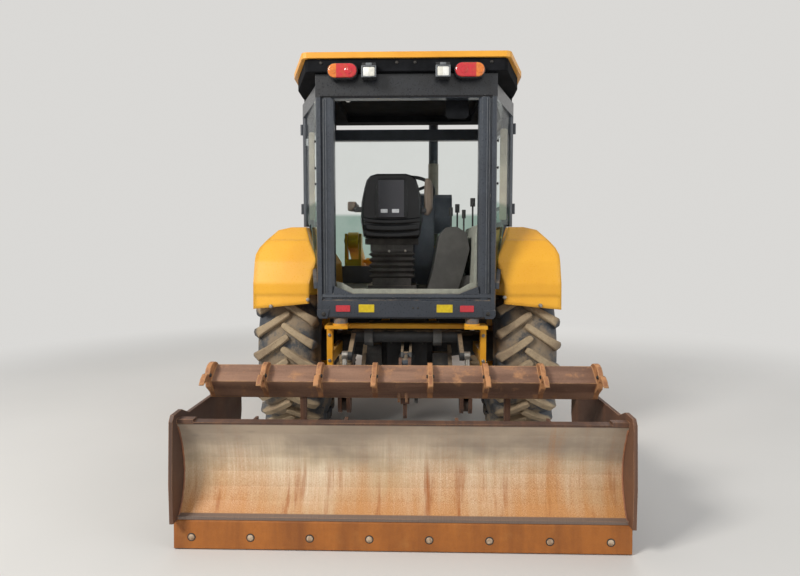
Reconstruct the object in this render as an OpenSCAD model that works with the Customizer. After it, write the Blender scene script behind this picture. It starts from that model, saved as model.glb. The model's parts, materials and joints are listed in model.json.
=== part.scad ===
// Landscape loader with a rear box scraper and a folding ripper bar.
// Millimetres. X is the machine's right, Y is forward, Z is up, the ground is z = 0.
// Every y below is measured from the rear axle; on_axle() moves it into the part's frame.

/* [Chassis] */
// Distance between the axles
wheelbase = 2130; // [1980:10:2300]
// Height of the frame rails' top
rail_top = 780; // [720:5:840]
// Half distance between the outer faces of the frame rails
rail_half = 250; // [220:5:280]
// Height of the hood's top
hood_top = 1450; // [1380:5:1520]
// Half width of the hood
hood_half = 350; // [320:5:370]

/* [Wheels] */
// Radius of the rear tyres over the lugs
rear_tyre_r = 665; // [640:5:680]
// Width of the rear tyres
rear_tyre_w = 456; // [430:2:470]
// Distance between the rear tyres' middle planes
rear_track = 1710; // [1690:10:1770]
// Radius of the front tyres
front_tyre_r = 420; // [390:5:435]
// Width of the front tyres
front_tyre_w = 280; // [240:5:290]
// Distance between the front tyres' middle planes
front_track = 1580; // [1560:10:1680]
// Distance of the steering pins from the middle
king_x = 590; // [570:5:610]
// Lugs on each half of a rear tyre
lug_count = 24; // [18:1:26]
// Height of a rear tyre's lugs
lug_h = 38; // [30:1:45]

/* [Cab] */
// Distance of the cab's rear face behind the rear axle
cab_back = 750; // [720:5:780]
// Height of the cab floor
floor_z = 1100; // [1080:5:1130]
// Height of the rear window's sill
sill_z = 1115; // [1100:5:1140]
// Height of the rear window's top
header_z = 2422; // [2380:2:2460]
// Height of the roof above the rear window's top
roof_rise = 283; // [270:1:300]
// Distance of the seat from the middle, to the left
seat_x = 120; // [90:5:140]

/* [Loader] */
// Height of the boom's pivot
boom_pivot_z = 1500; // [1470:5:1520]
// Half distance between the boom arms' middle planes
arm_x = 550; // [540:5:560]
// Thickness of a boom arm
arm_t = 100; // [80:5:110]
// Width of the bucket
bucket_w = 2160; // [2100:10:2260]
// Height of the bucket's back
bucket_h = 600; // [560:5:620]
// Depth of the bucket from its back to its lip
bucket_depth = 780; // [720:10:840]

/* [Box scraper] */
// Width over the scraper's end plates
box_w = 2150; // [2110:10:2220]
// Height of the scraper's blade
box_h = 606; // [585:1:615]
// Distance of the blade's foot behind the rear axle
blade_back = 2075; // [2050:5:2110]
// Side of the ripper bar's square tube
bar_side = 121; // [110:1:130]
// Length of the ripper bar
bar_len = 2030; // [1960:10:2050]
// Claws on the ripper bar
claw_count = 8; // [5:1:9]

/* [Hidden] */
rear_reach = blade_back + 50;
roof_z = header_z + roof_rise;
boom_y = 1120;
bucket_pin_y = wheelbase + 960;
bucket_pin_z = 290;
bucket_back_y = bucket_pin_y + 120;
front_reach = bucket_back_y + bucket_depth;
axle_y = (rear_reach - front_reach) / 2;
fine = 48;
rear_half = rear_track / 2;
front_half = front_track / 2;
yellow = [0.98, 0.71, 0.14];
dark = [0.25, 0.28, 0.31];
black = [0.07, 0.07, 0.08];
grey = [0.55, 0.56, 0.55];
steel = [0.80, 0.81, 0.82];
rust = [0.55, 0.33, 0.20];
rubber = [0.16, 0.17, 0.19];
glass = [0.62, 0.74, 0.72, 0.35];

// hitch points, [y, z]
lower_pivot = [-400, 500];
lower_end = [-1070, 440];
top_front = [-600, 665];
top_end = [-1060, 700];
shaft_at = [-520, 797];
lift_end = [-780, 700];
lift_foot = [-835, 465];
hitch_x = 380;
// ripper points
rip_pivot = [-1270, 620];
bar_at = [-1680, 723];
// loader points
boom_at = [boom_y, boom_pivot_z];
knee = [wheelbase + 445, 905];
crank_at = [wheelbase + 435, 965];
link_x = arm_x - 100;
crank_arm = 250;
crank_dir = 80;
link_top = crank_at + crank_arm * [cos(crank_dir), sin(crank_dir)];
pin_at = [bucket_pin_y, bucket_pin_z];
link_foot = pin_at + crank_arm * [cos(crank_dir), sin(crank_dir)];
crank_eye = crank_at + 170 * [cos(125), sin(125)];
tilt_base = [1640, 1290];
lift_base = [1150, 480];
lift_eye = [1640, 1135];

module on_axle() { translate([0, axle_y, 0]) children(); }
module both() {
    children();
    mirror([1, 0, 0]) children();
}
module block(x0, x1, y0, y1, z0, z1) {
    translate([x0, y0, z0]) cube([x1 - x0, y1 - y0, z1 - z0]);
}
// outline in y, z drawn out from x0 to x1
module slab_x(x0, x1) {
    translate([x0, 0, 0]) rotate([90, 0, 90]) linear_extrude(x1 - x0) children();
}
// outline in x, z drawn out from y0 to y1
module slab_y(y0, y1) {
    translate([0, y1, 0]) rotate([90, 0, 0]) linear_extrude(y1 - y0) children();
}
// outline in x, y drawn out from z0 to z1
module slab_z(z0, z1) {
    translate([0, 0, z0]) linear_extrude(z1 - z0) children();
}
module disc_x(x0, x1, at, r) {
    translate([x0, at[0], at[1]]) rotate([0, 90, 0]) cylinder(h = x1 - x0, r = r, $fn = fine);
}
// round bar in the plane at x, from p to q
module rod(x, p, q, r) {
    d = q - p;
    translate([x, p[0], p[1]]) rotate([atan2(-d[0], d[1]), 0, 0])
        cylinder(h = norm(d), r = r, $fn = fine);
}
// flat bar from p to q with half widths a and b
module strap(x0, x1, p, q, a, b) {
    d = (q - p) / norm(q - p);
    n = [-d[1], d[0]];
    slab_x(x0, x1) polygon([p + n * a, p - n * a, q - n * b, q + n * b]);
}
// flat bar with round ends
module eye_bar(x0, x1, p, q, a, b) {
    strap(x0, x1, p, q, a * 0.86, b * 0.86);
    disc_x(x0, x1, p, a);
    disc_x(x0, x1, q, b);
}

// Chassis

module main_frame() {
    y0 = 480;
    y1 = wheelbase + 350;
    web = 60;
    color(yellow) on_axle() {
        both()
            difference() {
                slab_x(rail_half - web, rail_half)
                    polygon([[y0, rail_top - 180], [y0, rail_top - 20], [y0 + 20, rail_top],
                        [y1, rail_top], [y1, rail_top - 150], [y1 - 60, rail_top - 180]]);
                for (y = [1250 : 240 : wheelbase - 200])
                    disc_x(rail_half - web - 1, rail_half + 1, [y, rail_top - 95], 34);
            }
        block(-rail_half + web, rail_half - web, y1 - 80, y1, rail_top - 180, rail_top);
        block(-rail_half + web, rail_half - web, wheelbase - 120, wheelbase + 120,
            rail_top - 180, rail_top - 120);
        block(-arm_x + 80.3, arm_x - 80.3, boom_y - 85, boom_y - 10, rail_top - 240, rail_top - 180);
    }
}

module tow_plate() {
    color(yellow) on_axle()
        difference() {
            block(-70, 70, wheelbase + 190, wheelbase + 330, rail_top - 215, rail_top - 180.3);
            translate([0, wheelbase + 270, rail_top - 220])
                cylinder(h = 45, r = 16, $fn = fine);
        }
}

module transaxle() {
    hub_x = rear_half - 120;
    color(grey) on_axle() {
        slab_y(-240, 700)
            polygon([[-189.7, 500], [-160, 470], [160, 470], [189.7, 500], [189.7, 740], [150, 788],
                [-150, 788], [-189.7, 740]]);
        disc_x(-rear_half - 35, rear_half + 35, [0, rear_tyre_r], 59.6);
        both() {
            translate([0, 0, rear_tyre_r]) rotate([0, 90, 0]) rotate_extrude($fn = fine)
                polygon([[0, 160], [118, 160], [118, 208], [172, 208], [172, 232], [128, 232],
                    [96, 400], [96, hub_x - 165], [142, hub_x - 125], [142, hub_x], [0, hub_x]]);
            for (y = [-170 : 130 : 440])
                block(150, 200, y, y + 14, 520, 740);
        }
        slab_y(-330, -240)
            polygon([[-150, 540], [-120, 520], [120, 520], [150, 540], [150, 740], [110, 770],
                [-110, 770], [-150, 740]]);
        translate([0, -330, 610]) rotate([90, 0, 0]) cylinder(h = 60, r = 62, $fn = fine);
        translate([0, -390, 610]) rotate([90, 0, 0]) cylinder(h = 70, r = 19, $fn = fine);
    }
}

module engine() {
    color(dark) on_axle()
        block(-189.7, 189.7, 1000, wheelbase + 200, rail_top - 110, hood_top - 120);
}

// hood's cross section, made smaller by g
module hood_section(g) {
    w = hood_half - g;
    t = hood_top - g;
    polygon([[-w, rail_top + 15 - g], [-w, t - 150], [-w + 12, t - 70], [-w + 50, t - 18],
        [-w + 110, t], [w - 110, t], [w - 50, t - 18], [w - 12, t - 70], [w, t - 150],
        [w, rail_top + 15 - g]]);
}
// hood's side view, made smaller by g
module hood_profile(g) {
    y = wheelbase + 420 - g;
    t = hood_top - g;
    polygon([[900, rail_top - 20], [900, t], [y - 560, t], [y - 90, t - 60], [y - 25, t - 100],
        [y, t - 160], [y, rail_top - 20]]);
}
module hood() {
    wall = 14;
    y0 = 935;
    color(yellow) on_axle()
        difference() {
            intersection() {
                slab_y(y0, wheelbase + 420) hood_section(0);
                slab_x(-hood_half, hood_half) hood_profile(0);
            }
            intersection() {
                slab_y(y0 - 10, wheelbase + 400) hood_section(wall);
                slab_x(-hood_half, hood_half) hood_profile(wall);
            }
            block(-hood_half + 60, hood_half - 60, wheelbase + 370, wheelbase + 430,
                rail_top + 60, hood_top - 220);
            // louvres in the sides
            both()
                for (i = [0 : 8])
                    slab_x(hood_half - 30, hood_half + 1)
                        translate([1680 + i * 70, 0]) polygon([[0, 1010], [26, 1010], [56, 1190],
                            [30, 1190]]);
        }
}

module grille() {
    w = hood_half - 60.3;
    z0 = rail_top + 60.3;
    z1 = hood_top - 220.3;
    y = wheelbase + 384;
    slats = 8;
    color(black) on_axle() {
        difference() {
            block(-w, w, y, y + 30, z0, z1);
            block(-w + 22, w - 22, y + 8, y + 31, z0 + 22, z1 - 22);
        }
        for (i = [1 : slats])
            let (z = z0 + 22 + i * (z1 - z0 - 44) / (slats + 1))
                slab_x(-w + 20, w - 20) polygon([[y + 6, z + 8], [y + 6, z - 8], [y + 28, z - 15],
                    [y + 28, z - 5]]);
        both()
            translate([w - 75, y + 4, z1 - 75]) rotate([-90, 0, 0]) cylinder(h = 32, r = 52, $fn = fine);
        slab_z(rail_top - 170, rail_top + 14.7)
            polygon([[-rail_half - 60, wheelbase + 350.3], [rail_half + 60, wheelbase + 350.3],
                [rail_half + 60, wheelbase + 395], [rail_half, wheelbase + 425],
                [-rail_half, wheelbase + 425], [-rail_half - 60, wheelbase + 395]]);
    }
}

module front_axle() {
    z = front_tyre_r;
    x = king_x - 30;
    color(dark) on_axle() {
        slab_y(wheelbase - 55, wheelbase + 55)
            polygon([[-x, z - 55], [-x + 160, z - 50], [-120, z - 75], [120, z - 75],
                [x - 160, z - 50], [x, z - 55], [x, z + 55], [x - 160, z + 40], [130, z + 75],
                [-130, z + 75], [-x + 160, z + 40], [-x, z + 55]]);
        both() translate([king_x, wheelbase, z - 65.7]) cylinder(h = 131.4, r = 34, $fn = fine);
        slab_y(wheelbase - 110, wheelbase + 110)
            polygon([[-120, rail_top - 180.3], [-70, z + 50], [70, z + 50], [120, rail_top - 180.3]]);
    }
}

module towers() {
    foot = 430;
    color(yellow) on_axle()
        both() {
            for (x = [arm_x - arm_t / 2 - 30, arm_x + arm_t / 2 + 8])
                difference() {
                    slab_x(x, x + 22)
                        polygon([[boom_y - 95, foot], [boom_y + 110, foot], [boom_y + 150, foot + 170],
                            [boom_y + 70, boom_pivot_z - 120], [boom_y + 70, boom_pivot_z + 70],
                            [boom_y - 70, boom_pivot_z + 70], [boom_y - 95, boom_pivot_z - 250]]);
                    disc_x(x - 2, x + 24, boom_at, 30);
                }
            block(arm_x - arm_t / 2 - 8, arm_x + arm_t / 2 + 8, boom_y - 95, boom_y - 80,
                foot, boom_pivot_z - 180);
            disc_x(arm_x - arm_t / 2 - 8, arm_x + arm_t / 2 + 8, lift_base, 24);
        }
}

// outer form of a fender, made smaller by g: side view, rear view and plan together
module fender_form(g) {
    intersection() {
        slab_x(590, 1068 - g)
            polygon([[-662 + g, 940], [-655 + g, 1180], [-610 + g, 1330], [-520 + g, 1480],
                [-380 + g, 1580 - g], [380 - g, 1580 - g], [500 - g, 1430], [640 - g, 1080],
                [640 - g, 940]]);
        slab_y(-700, 700)
            polygon([[598.6 + g, 940], [599 + g, 1300], [645 + g, 1378], [742 + g, 1580 - g],
                [850, 1580 - g], [940, 1558 - g], [1045 - g, 1430], [1066 - g, 1380], [1068 - g, 940]]);
        slab_z(930, 1600)
            polygon([[590, -560], [690 + g, -670], [1080, -670], [1080, 700], [590, 700]]);
    }
}
// sill of the quarter window, from the door's post down over the fender to the rear post
module quarter_sill(g) {
    x = b_post[0];
    y = b_post[1];
    hull() {
        block(x - 85 - g, x - 45 + g, y - 60 - g, y + g, 1592 - g, 1640 + g);
        block(post_x + 0.3, post_x + 24 + g, -cab_back + 14 - g, -cab_back + 84 + g, 1150 - g, 1190 + g);
    }
}
module fenders() {
    sheet = 9;
    lip = 26;
    color(yellow) on_axle()
        both()
            difference() {
                fender_form(0);
                difference() {
                    fender_form(sheet);
                    // the turned-in lip along the rear foot
                    slab_y(-700, -640) polygon([[590, 900], [1080, 900], [1080, 1012 + lip],
                        [590, 1062 + lip]]);
                }
                slab_y(-690, 700) polygon([[580, 930], [1090, 930], [1090, 1000], [580, 1050]]);
                block(600 + sheet, 1068 - sheet, -640 - lip / 2, 700, 930, 1100);
                // the outer wall ends above the tyre
                disc_x(1020, 1090, [0, rear_tyre_r], rear_tyre_r + 28);
                quarter_sill(0.3);
            }
}

// Cab

post_x = 605;
b_post = [805, -100];
a_post = [775, 900];
door_hinge = [820, -100];

module cab_rear() {
    y = -cab_back;
    x = post_x;
    foot = 947;
    color(dark) on_axle() {
        both() {
            // double rear post: outer column, groove and window frame
            slab_z(foot + 34, header_z + 20)
                polygon([[x, y + 84], [x, y + 10], [x - 7, y], [x - 33, y], [x - 38, y + 20],
                    [x - 50, y + 20], [x - 54, y + 8], [x - 98, y + 8], [x - 118, y + 26],
                    [x - 120, y + 84]]);
            slab_y(y - 6, y + 84)
                polygon([[x, foot + 60], [x, foot + 22], [x - 16, foot], [x - 70, foot],
                    [x - 84, foot + 60]]);
            // gusset in the window's lower corner
            slab_y(y + 8, y + 60)
                polygon([[x - 110, sill_z - 2], [x - 250, sill_z - 2], [x - 118, sill_z + 52]]);
            slab_z(header_z, header_z + 100)
                polygon([[x, y + 40], [x, y + 110], [b_post[0] - 92, b_post[1]],
                    [b_post[0], b_post[1]], [b_post[0], b_post[1] - 40]]);
        }
        slab_x(-x, x)
            polygon([[y, header_z + 14], [y + 14, header_z], [y + 80, header_z],
                [y + 80, header_z + 163], [y + 8, header_z + 163], [y, header_z + 155]]);
        // lower panel with its groove
        slab_x(-x + 20, x - 20)
            polygon([[y + 84, foot], [y + 12, foot], [y + 2, foot + 12], [y + 2, foot + 122],
                [y + 14, foot + 130], [y + 14, foot + 138], [y + 4, foot + 144], [y + 10, sill_z],
                [y + 84, sill_z]]);
    }
}

module cab_sides() {
    x = b_post[0];
    y = b_post[1];
    color(dark) on_axle()
        both() {
            slab_z(1592, header_z - 0.3)
                polygon([[x - 85, y], [x - 85, y - 26], [x - 24, y - 62], [x - 8, y - 56], [x, y - 40],
                    [x, y]]);
            quarter_sill(0);
            block(a_post[0] - 70, a_post[0], a_post[1] - 70, a_post[1], floor_z - 60, header_z + 100);
            slab_z(header_z, header_z + 100)
                polygon([[x - 90, y + 0.3], [x, y + 0.3], [a_post[0], a_post[1] - 70.3],
                    [a_post[0] - 80, a_post[1] - 70.3]]);
        }
}

module cab_front() {
    y = a_post[1];
    x = a_post[0] - 70.3;
    color(dark) on_axle() {
        block(-x, x, y - 70, y, header_z, header_z + 100);
        block(-x, x, y - 60, y, floor_z - 60, floor_z + 160);
    }
}

module cab_floor() {
    color(dark) on_axle() {
        block(-597.7, 597.7, -cab_back + 84.3, a_post[1] - 60.3, floor_z - 50, floor_z);
        both() block(597, a_post[0] - 70.3, 660.3, a_post[1] - 60.3, floor_z - 50, floor_z);
    }
}

module cab_mounts() {
    x = 453;
    y = -690;
    color(yellow) on_axle() {
        slab_x(-555, 555)
            polygon([[-612, 862], [-570, 862], [-570, 897], [-606, 897], [-612, 890]]);
        both() {
            block(398.3, 555, -745, -611, 874, 897);
            translate([x, y, 896]) cylinder(h = 15, r = 54, $fn = fine);
            translate([x, y, 910]) cylinder(h = 36.7, r = 48, $fn = fine);
            block(515, 555, -655, -600, 560, 875);
            block(515, 555, -600, -96.3, 620, 700);
        }
    }
}

module roof_cap() {
    band = 38;
    color(yellow) on_axle()
        slab_z(roof_z - band, roof_z)
            polygon([[-655, -800], [655, -800], [676, -792], [690, -772], [830, -320], [838, -100],
                [816, 950], [795, 990], [750, 1010], [-750, 1010], [-795, 990], [-816, 950],
                [-838, -100], [-830, -320], [-690, -772], [-676, -792]]);
}

module roof_liner() {
    z0 = header_z + 163.3;
    z1 = roof_z - 38.3;
    color(black) on_axle()
        difference() {
            union() {
                slab_z(z0, z1)
                    polygon([[-645, -782], [645, -782], [668, -760], [806, -300], [812, -100],
                        [790, 950], [-790, 950], [-812, -100], [-806, -300], [-668, -760]]);
                // lower rim along the sides and the front, above the doors
                for (s = [-1, 1])
                    scale_x(s) slab_z(header_z + 100.3, z0 + 1)
                        polygon([[700, -95], [800, -95], [770, 940], [690, 940]]);
                // mirror and cabin lamp hung behind the driver
                slab_y(-642, -622)
                    polygon([[288, header_z - 116], [404, header_z - 116], [426, header_z - 96],
                        [420, header_z + 34], [402, header_z + 48], [290, header_z + 48],
                        [272, header_z + 34], [266, header_z - 96]]);
                block(336, 352, -640, -624, header_z + 40, z0 + 10);
                translate([-398, -618, header_z + 16]) rotate([90, 0, 0]) cylinder(h = 30, r = 24, $fn = fine);
                block(-404, -392, -640, -628, header_z + 20, z0 + 10);
            }
            block(-560, 560, -600, 800, z0 - 40, z1 - 30);
        }
}

module cab_glass() {
    t = 6;
    color(glass) on_axle() {
        block(-a_post[0] + 72, a_post[0] - 72, a_post[1] - 20, a_post[1] - 20 + t,
            floor_z + 160.3, header_z - 0.3);
        both()
            difference() {
                slab_z(1120, header_z - 0.3)
                    polygon([[post_x + 1, -cab_back + 42], [post_x + 1, -cab_back + 42 + t * 3],
                        [b_post[0] - 29.5, b_post[1] - 59.2], [b_post[0] - 24.3, b_post[1] - 62.5]]);
                fender_form(-0.4);
                slab_x(600, 860)
                    polygon([[-cab_back, 1100], [-cab_back, 1192], [-640, 1280], [-560, 1362],
                        [-420, 1600], [0, 1600], [0, 1100]]);
            }
    }
}

// seat: cushion, back shell with its raised middle and rounded top, and two armrests
module seat() {
    back_y = -262;
    color(black) on_axle() translate([-seat_x, 0, 0]) {
        slab_x(-230, 230)
            polygon([[-150, 1500], [300, 1500], [335, 1530], [330, 1590], [290, 1618], [-150, 1600]]);
        slab_y(back_y + 18, back_y + 112)
            polygon([[-205, 1500], [-228, 1620], [-222, 1800], [-188, 1940], [-160, 1972],
                [-110, 1987], [110, 1987], [160, 1972], [188, 1940], [222, 1800], [228, 1620],
                [205, 1500]]);
        slab_y(back_y, back_y + 20)
            polygon([[-120, 1640], [-135, 1720], [-125, 1930], [-100, 1950], [100, 1950], [125, 1930],
                [135, 1720], [120, 1640]]);
        slab_x(-345, -268) polygon([[-190, 1705], [80, 1720], [90, 1760], [60, 1785], [-190, 1790]]);
        slab_x(-290, -222) polygon([[-190, 1700], [-130, 1700], [-130, 1740], [-190, 1740]]);
        slab_y(-200, -140)
            polygon([[222, 1690], [240, 1690], [250, 1670], [285, 1665], [318, 1720], [322, 1900],
                [300, 1960], [262, 1970], [244, 1940], [240, 1740], [222, 1730]]);
    }
}

// bellows outline between two heights, half width w at the folds
function bellows(w, z0, z1, folds, depth) = let (step = (z1 - z0) / folds)
    concat([for (i = [0 : folds - 1]) each [[-w + depth, z0 + i * step], [-w, z0 + (i + 0.5) * step]]],
        [[-w + depth, z1], [w - depth, z1]],
        [for (i = [folds - 1 : -1 : 0]) each [[w, z0 + (i + 0.5) * step], [w - depth, z0 + i * step]]]);
module seat_base() {
    top = 1499.7;
    color(dark) on_axle() translate([-seat_x, 0, 0]) {
        block(-190, 190, -200, 290, floor_z + 0.3, floor_z + 40);
        block(-150, 150, -170, 260, floor_z + 40, floor_z + 95);
        intersection() {
            slab_y(-185, 275) polygon(bellows(178, floor_z + 90, 1400, 5, 26));
            translate([0, 45, 0]) slab_x(-190, 190) polygon(bellows(228, floor_z + 90, 1400, 5, 26));
        }
        block(-165, 165, -170, 260, 1399, 1462);
        slab_x(-205, 205) polygon([[-190, top], [-175, 1455], [270, 1455], [290, top]]);
    }
}

// right console with its rounded head, side lining, levers and the sill's lining
module consoles() {
    color(grey) on_axle() {
        slab_y(-330, 300)
            polygon([[150, floor_z + 0.3], [375, floor_z + 0.3], [420, 1240], [465, 1420], [440, 1540],
                [370, 1585], [290, 1580], [240, 1520], [215, 1380], [195, 1260]]);
        slab_y(-560, 500)
            polygon([[470, floor_z + 0.3], [590, floor_z + 0.3], [590, 1560], [560, 1600], [500, 1590],
                [480, 1500]]);
        block(372, 472, -300, 280, floor_z + 0.3, floor_z + 120);
        for (l = [[340, -40, 1710, 16], [395, 30, 1740, 18], [440, -60, 1690, 15], [520, 60, 1790, 20]]) {
            translate([l[0], l[1], 1500]) cylinder(h = l[2] - 1500, r = 7, $fn = 24);
            translate([l[0], l[1], l[2] - 30]) cylinder(h = 66, r = l[3], $fn = 32);
        }
        slab_y(-665.4, -650)
            polygon([[-470, floor_z + 0.3], [470, floor_z + 0.3], [484, sill_z + 80],
                [440, sill_z + 70], [370, sill_z + 30], [-370, sill_z + 30], [-440, sill_z + 70],
                [-484, sill_z + 80]]);
    }
}

module dash() {
    hub = [560, 1925];
    rim_r = 190;
    color(dark) on_axle() {
        slab_x(-60, 230)
            polygon([[690, floor_z + 0.3], [820, floor_z + 0.3], [820, 1900], [780, 1930], [690, 1905],
                [640, 1800], [655, 1560]]);
        slab_x(230, 390)
            polygon([[700, 1560], [790, 1560], [800, 1870], [740, 1915], [690, 1880], [670, 1700]]);
        translate([30, hub[0], hub[1]]) rotate([-35, 0, 0]) {
            rotate_extrude($fn = fine) translate([rim_r, 0]) circle(r = 15, $fn = 20);
            for (a = [90 : 120 : 330])
                rotate([0, 0, a]) block(0, rim_r, -13, 13, -7, 5);
            translate([0, 0, -26]) cylinder(h = 34, r = 42, $fn = fine);
        }
        rod(30, hub, [690, 1740], 24);
    }
}

module exhaust() {
    pipe = 44;
    bend = 90;
    turn = roof_z - 53;
    lean = 52;
    color(dark) on_axle()
        translate([230, 1060, 0]) {
            translate([0, 0, hood_top + 0.3]) cylinder(h = 2236 - hood_top, r = pipe + 5, $fn = fine);
            translate([0, 0, 2235]) cylinder(h = turn - 2235, r = pipe, $fn = fine);
            // the tip leans over to the right
            translate([bend, 0, turn])
                intersection() {
                    rotate([90, 0, 0]) rotate_extrude($fn = fine)
                        translate([bend, 0]) circle(r = pipe, $fn = 32);
                    translate([-200, -60, -0.1]) cube([200, 120, 0.1 + 2 * bend]);
                    rotate([0, lean, 0]) translate([-300, -60, 0]) mirror([0, 0, 1]) cube([300, 120, 300]);
                }
        }
}

module rear_lamps() {
    y = -cab_back - 32.3;
    z = header_z + 158;
    color(black) on_axle()
        both() {
            // tail lamp with round ends
            slab_y(y - 36, y)
                polygon(concat([for (a = [-90 : 15 : 90]) [465 + 50 * cos(a), z + 50 * sin(a)]],
                    [for (a = [90 : 15 : 270]) [365 + 50 * cos(a), z + 50 * sin(a)]]));
            // work lamp
            slab_y(y - 62, y)
                polygon([[190, z - 40], [198, z - 52], [282, z - 52], [290, z - 40], [284, z + 42],
                    [196, z + 42]]);
            // feet of both lamps on the header
            block(395, 435, y - 8, -cab_back - 0.3, z - 44, z + 1);
            block(225, 255, y - 8, -cab_back - 0.3, z - 44, z + 1);
        }
}

module side_tanks() {
    color(dark) on_axle()
        both() {
            slab_y(700, 1020)
                polygon([[rail_half + 0.3, 560], [585, 560], [620, 595], [620, 765], [600, 785],
                    [rail_half + 0.3, 785]]);
            // two steps on a side plate
            for (z = [[560, 590], [755, 785]])
                slab_z(z[0], z[1])
                    polygon([[600, 730], [870, 730], [900, 760], [900, 970], [870, 1000], [600, 1000]]);
            slab_y(720, 732) polygon([[640, 560], [880, 560], [860, 785], [640, 785]]);
            slab_y(998, 1010) polygon([[640, 560], [880, 560], [860, 785], [640, 785]]);
        }
}

module hitch_bracket() {
    color(grey) on_axle() {
        both() {
            slab_x(hitch_x - 75, hitch_x - 45)
                polygon([[-240, 420], [-240, 690], [-330, 640], [-440, 560], [-455, 500], [-440, 450],
                    [-380, 420]]);
            block(190.3, hitch_x - 75, -330, -240.3, 440, 640);
            // ears that hold the top link
            slab_x(20, 38)
                polygon([[-330.3, 682], [-330.3, 755], [-560, 712], [-620, 697], [-640, 665],
                    [-620, 633], [-570, 630], [-480, 682]]);
            // ribs of the shaft's housing
            slab_x(110, 124) polygon([[-330.3, 795], [-330.3, 705], [-440, 760], [-440, 795]]);
        }
        slab_x(-290, 240) polygon([[-402, 800], [-402, 862], [-390, 875], [-240.3, 875], [-240.3, 789],
            [-390, 789]]);
        for (x = [-300, 190])
            difference() {
                slab_x(x, x + 60)
                    polygon([[-330.3, 745], [-330.3, 855], [-560, 855], [-588, 820], [-588, 760],
                        [-560, 735], [-480, 725]]);
                disc_x(x - 1, x + 61, shaft_at, 52.6);
            }
        // drawbar with its pin
        block(35, 105, -640, -240, 372, 400);
        block(20, 120, -226, -170, 372, 469.7);
        block(35, 105, -242, -200, 372, 400);
        translate([70, -600, 330]) cylinder(h = 110, r = 13, $fn = fine);
        translate([70, -600, 430]) cylinder(h = 50, r1 = 32, r2 = 12, $fn = fine);
        // housing of the shaft's valve, on the left
        disc_x(-300, -190.3, [-290, 660], 52);
    }
}

// Wheels

// corner of a lug: x along the axle, t along the tread, at height h
function tread_at(x, t, h) = let(a = t / rear_tyre_r * 180 / PI) [x, -h * sin(a), h * cos(a)];
// one lug from its inner end to the shoulder: each station has x, t, half width, heel, foot and top height
module lug(w) {
    r = rear_tyre_r;
    f = r - lug_h;
    path = [[-14, -96, 23, 14, f - 14, r], [w - 5, 86, 34, 4, f - 76, r - 14]];
    corners = [for (p = path, c = [[-1, 4], [1, 4], [1, 5], [-1, 5]])
        tread_at(p[0] - c[0] * p[3], p[1] + c[0] * p[2], p[c[1]])];
    sides = [for (k = [0 : len(path) - 2], q = [0 : 3])
        [4 * k + q, 4 * k + (q + 1) % 4, 4 * k + 4 + (q + 1) % 4, 4 * k + 4 + q]];
    last = 4 * len(path) - 4;
    polyhedron(corners, concat([[3, 2, 1, 0]], sides, [[last, last + 1, last + 2, last + 3]]));
}
module rear_tyre() {
    w = rear_tyre_w / 2;
    f = rear_tyre_r - lug_h;
    b = 312.9;
    pitch = 360 / lug_count;
    // resize gives the tyre its whole width and keeps it one light mesh
    color(rubber) resize([rear_tyre_w, 0, 0]) {
        rotate([0, 90, 0]) rotate_extrude($fn = lug_count)
            polygon([[b, -w + 58], [b + 60, -w + 12], [f - 70, -w + 6], [f, -w + 90], [f, w - 90],
                [f - 70, w - 6], [b + 60, w - 12], [b, w - 58]]);
        for (i = [0 : lug_count - 1]) {
            rotate([i * pitch, 0, 0]) lug(w);
            rotate([(i + 0.5) * pitch, 0, 0]) mirror([1, 0, 0]) lug(w);
        }
    }
}

module rear_rim() {
    b = 309.7;
    w = rear_tyre_w / 2 - 50;
    color(yellow)
        difference() {
            rotate([0, 90, 0]) rotate_extrude($fn = 96)
                polygon([[b, -w], [b, w], [b - 12, w + 14], [b - 18, w + 12], [b - 22, w - 8],
                    [b - 52, w - 60], [b - 56, 70], [b - 80, 58], [190, 74], [165, 60], [60, 60],
                    [60, -60], [170, -60], [200, -40], [b - 66, 34], [b - 44, 20], [b - 44, -60],
                    [b - 22, -w + 8], [b - 18, -w - 12], [b - 12, -w - 14]]);
            for (i = [0 : 7])
                rotate([i * 45 + 22.5, 0, 0]) translate([0, 0, 222]) rotate([0, 90, 0])
                    cylinder(h = 300, r = 20, center = true, $fn = 32);
        }
}

module front_tyre() {
    r = front_tyre_r;
    w = front_tyre_w / 2;
    b = 210;
    color(rubber) resize([front_tyre_w, 0, 0])
        rotate([0, 90, 0]) rotate_extrude($fn = 24)
            polygon([[b, -w + 42], [b + 30, -w + 16], [r - 80, -w], [r, -w + 50], [r, -42],
                [r - 16, -34], [r - 16, 34], [r, 42], [r, w - 50], [r - 80, w], [b + 30, w - 16],
                [b, w - 42]]);
}

module front_rim() {
    b = 207.7;
    w = front_tyre_w / 2 - 35;
    color(yellow) rotate([0, 90, 0]) rotate_extrude($fn = 96)
        polygon([[b, -w], [b, w], [b - 8, w + 10], [b - 14, w - 6], [b - 34, w - 40], [b - 38, 40],
            [95, 58], [45, 60], [45, -50], [82, -50], [b - 52, 10], [b - 30, 0], [b - 30, -30],
            [b - 14, -w + 6], [b - 8, -w - 10]]);
}

module at_rear(s) { on_axle() translate([s * rear_half, 0, rear_tyre_r]) scale_x(s) children(); }
module at_front(s) { on_axle() translate([s * front_half, wheelbase, front_tyre_r]) scale_x(s) children(); }
module scale_x(s) { if (s < 0) mirror([1, 0, 0]) children(); else children(); }

module tyre_rear_left() { at_rear(-1) rear_tyre(); }
module tyre_rear_right() { at_rear(1) rear_tyre(); }
module rim_rear_left() { at_rear(-1) rear_rim(); }
module rim_rear_right() { at_rear(1) rear_rim(); }
module tyre_front_left() { at_front(-1) front_tyre(); }
module tyre_front_right() { at_front(1) front_tyre(); }
module rim_front_left() { at_front(-1) front_rim(); }
module rim_front_right() { at_front(1) front_rim(); }

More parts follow.
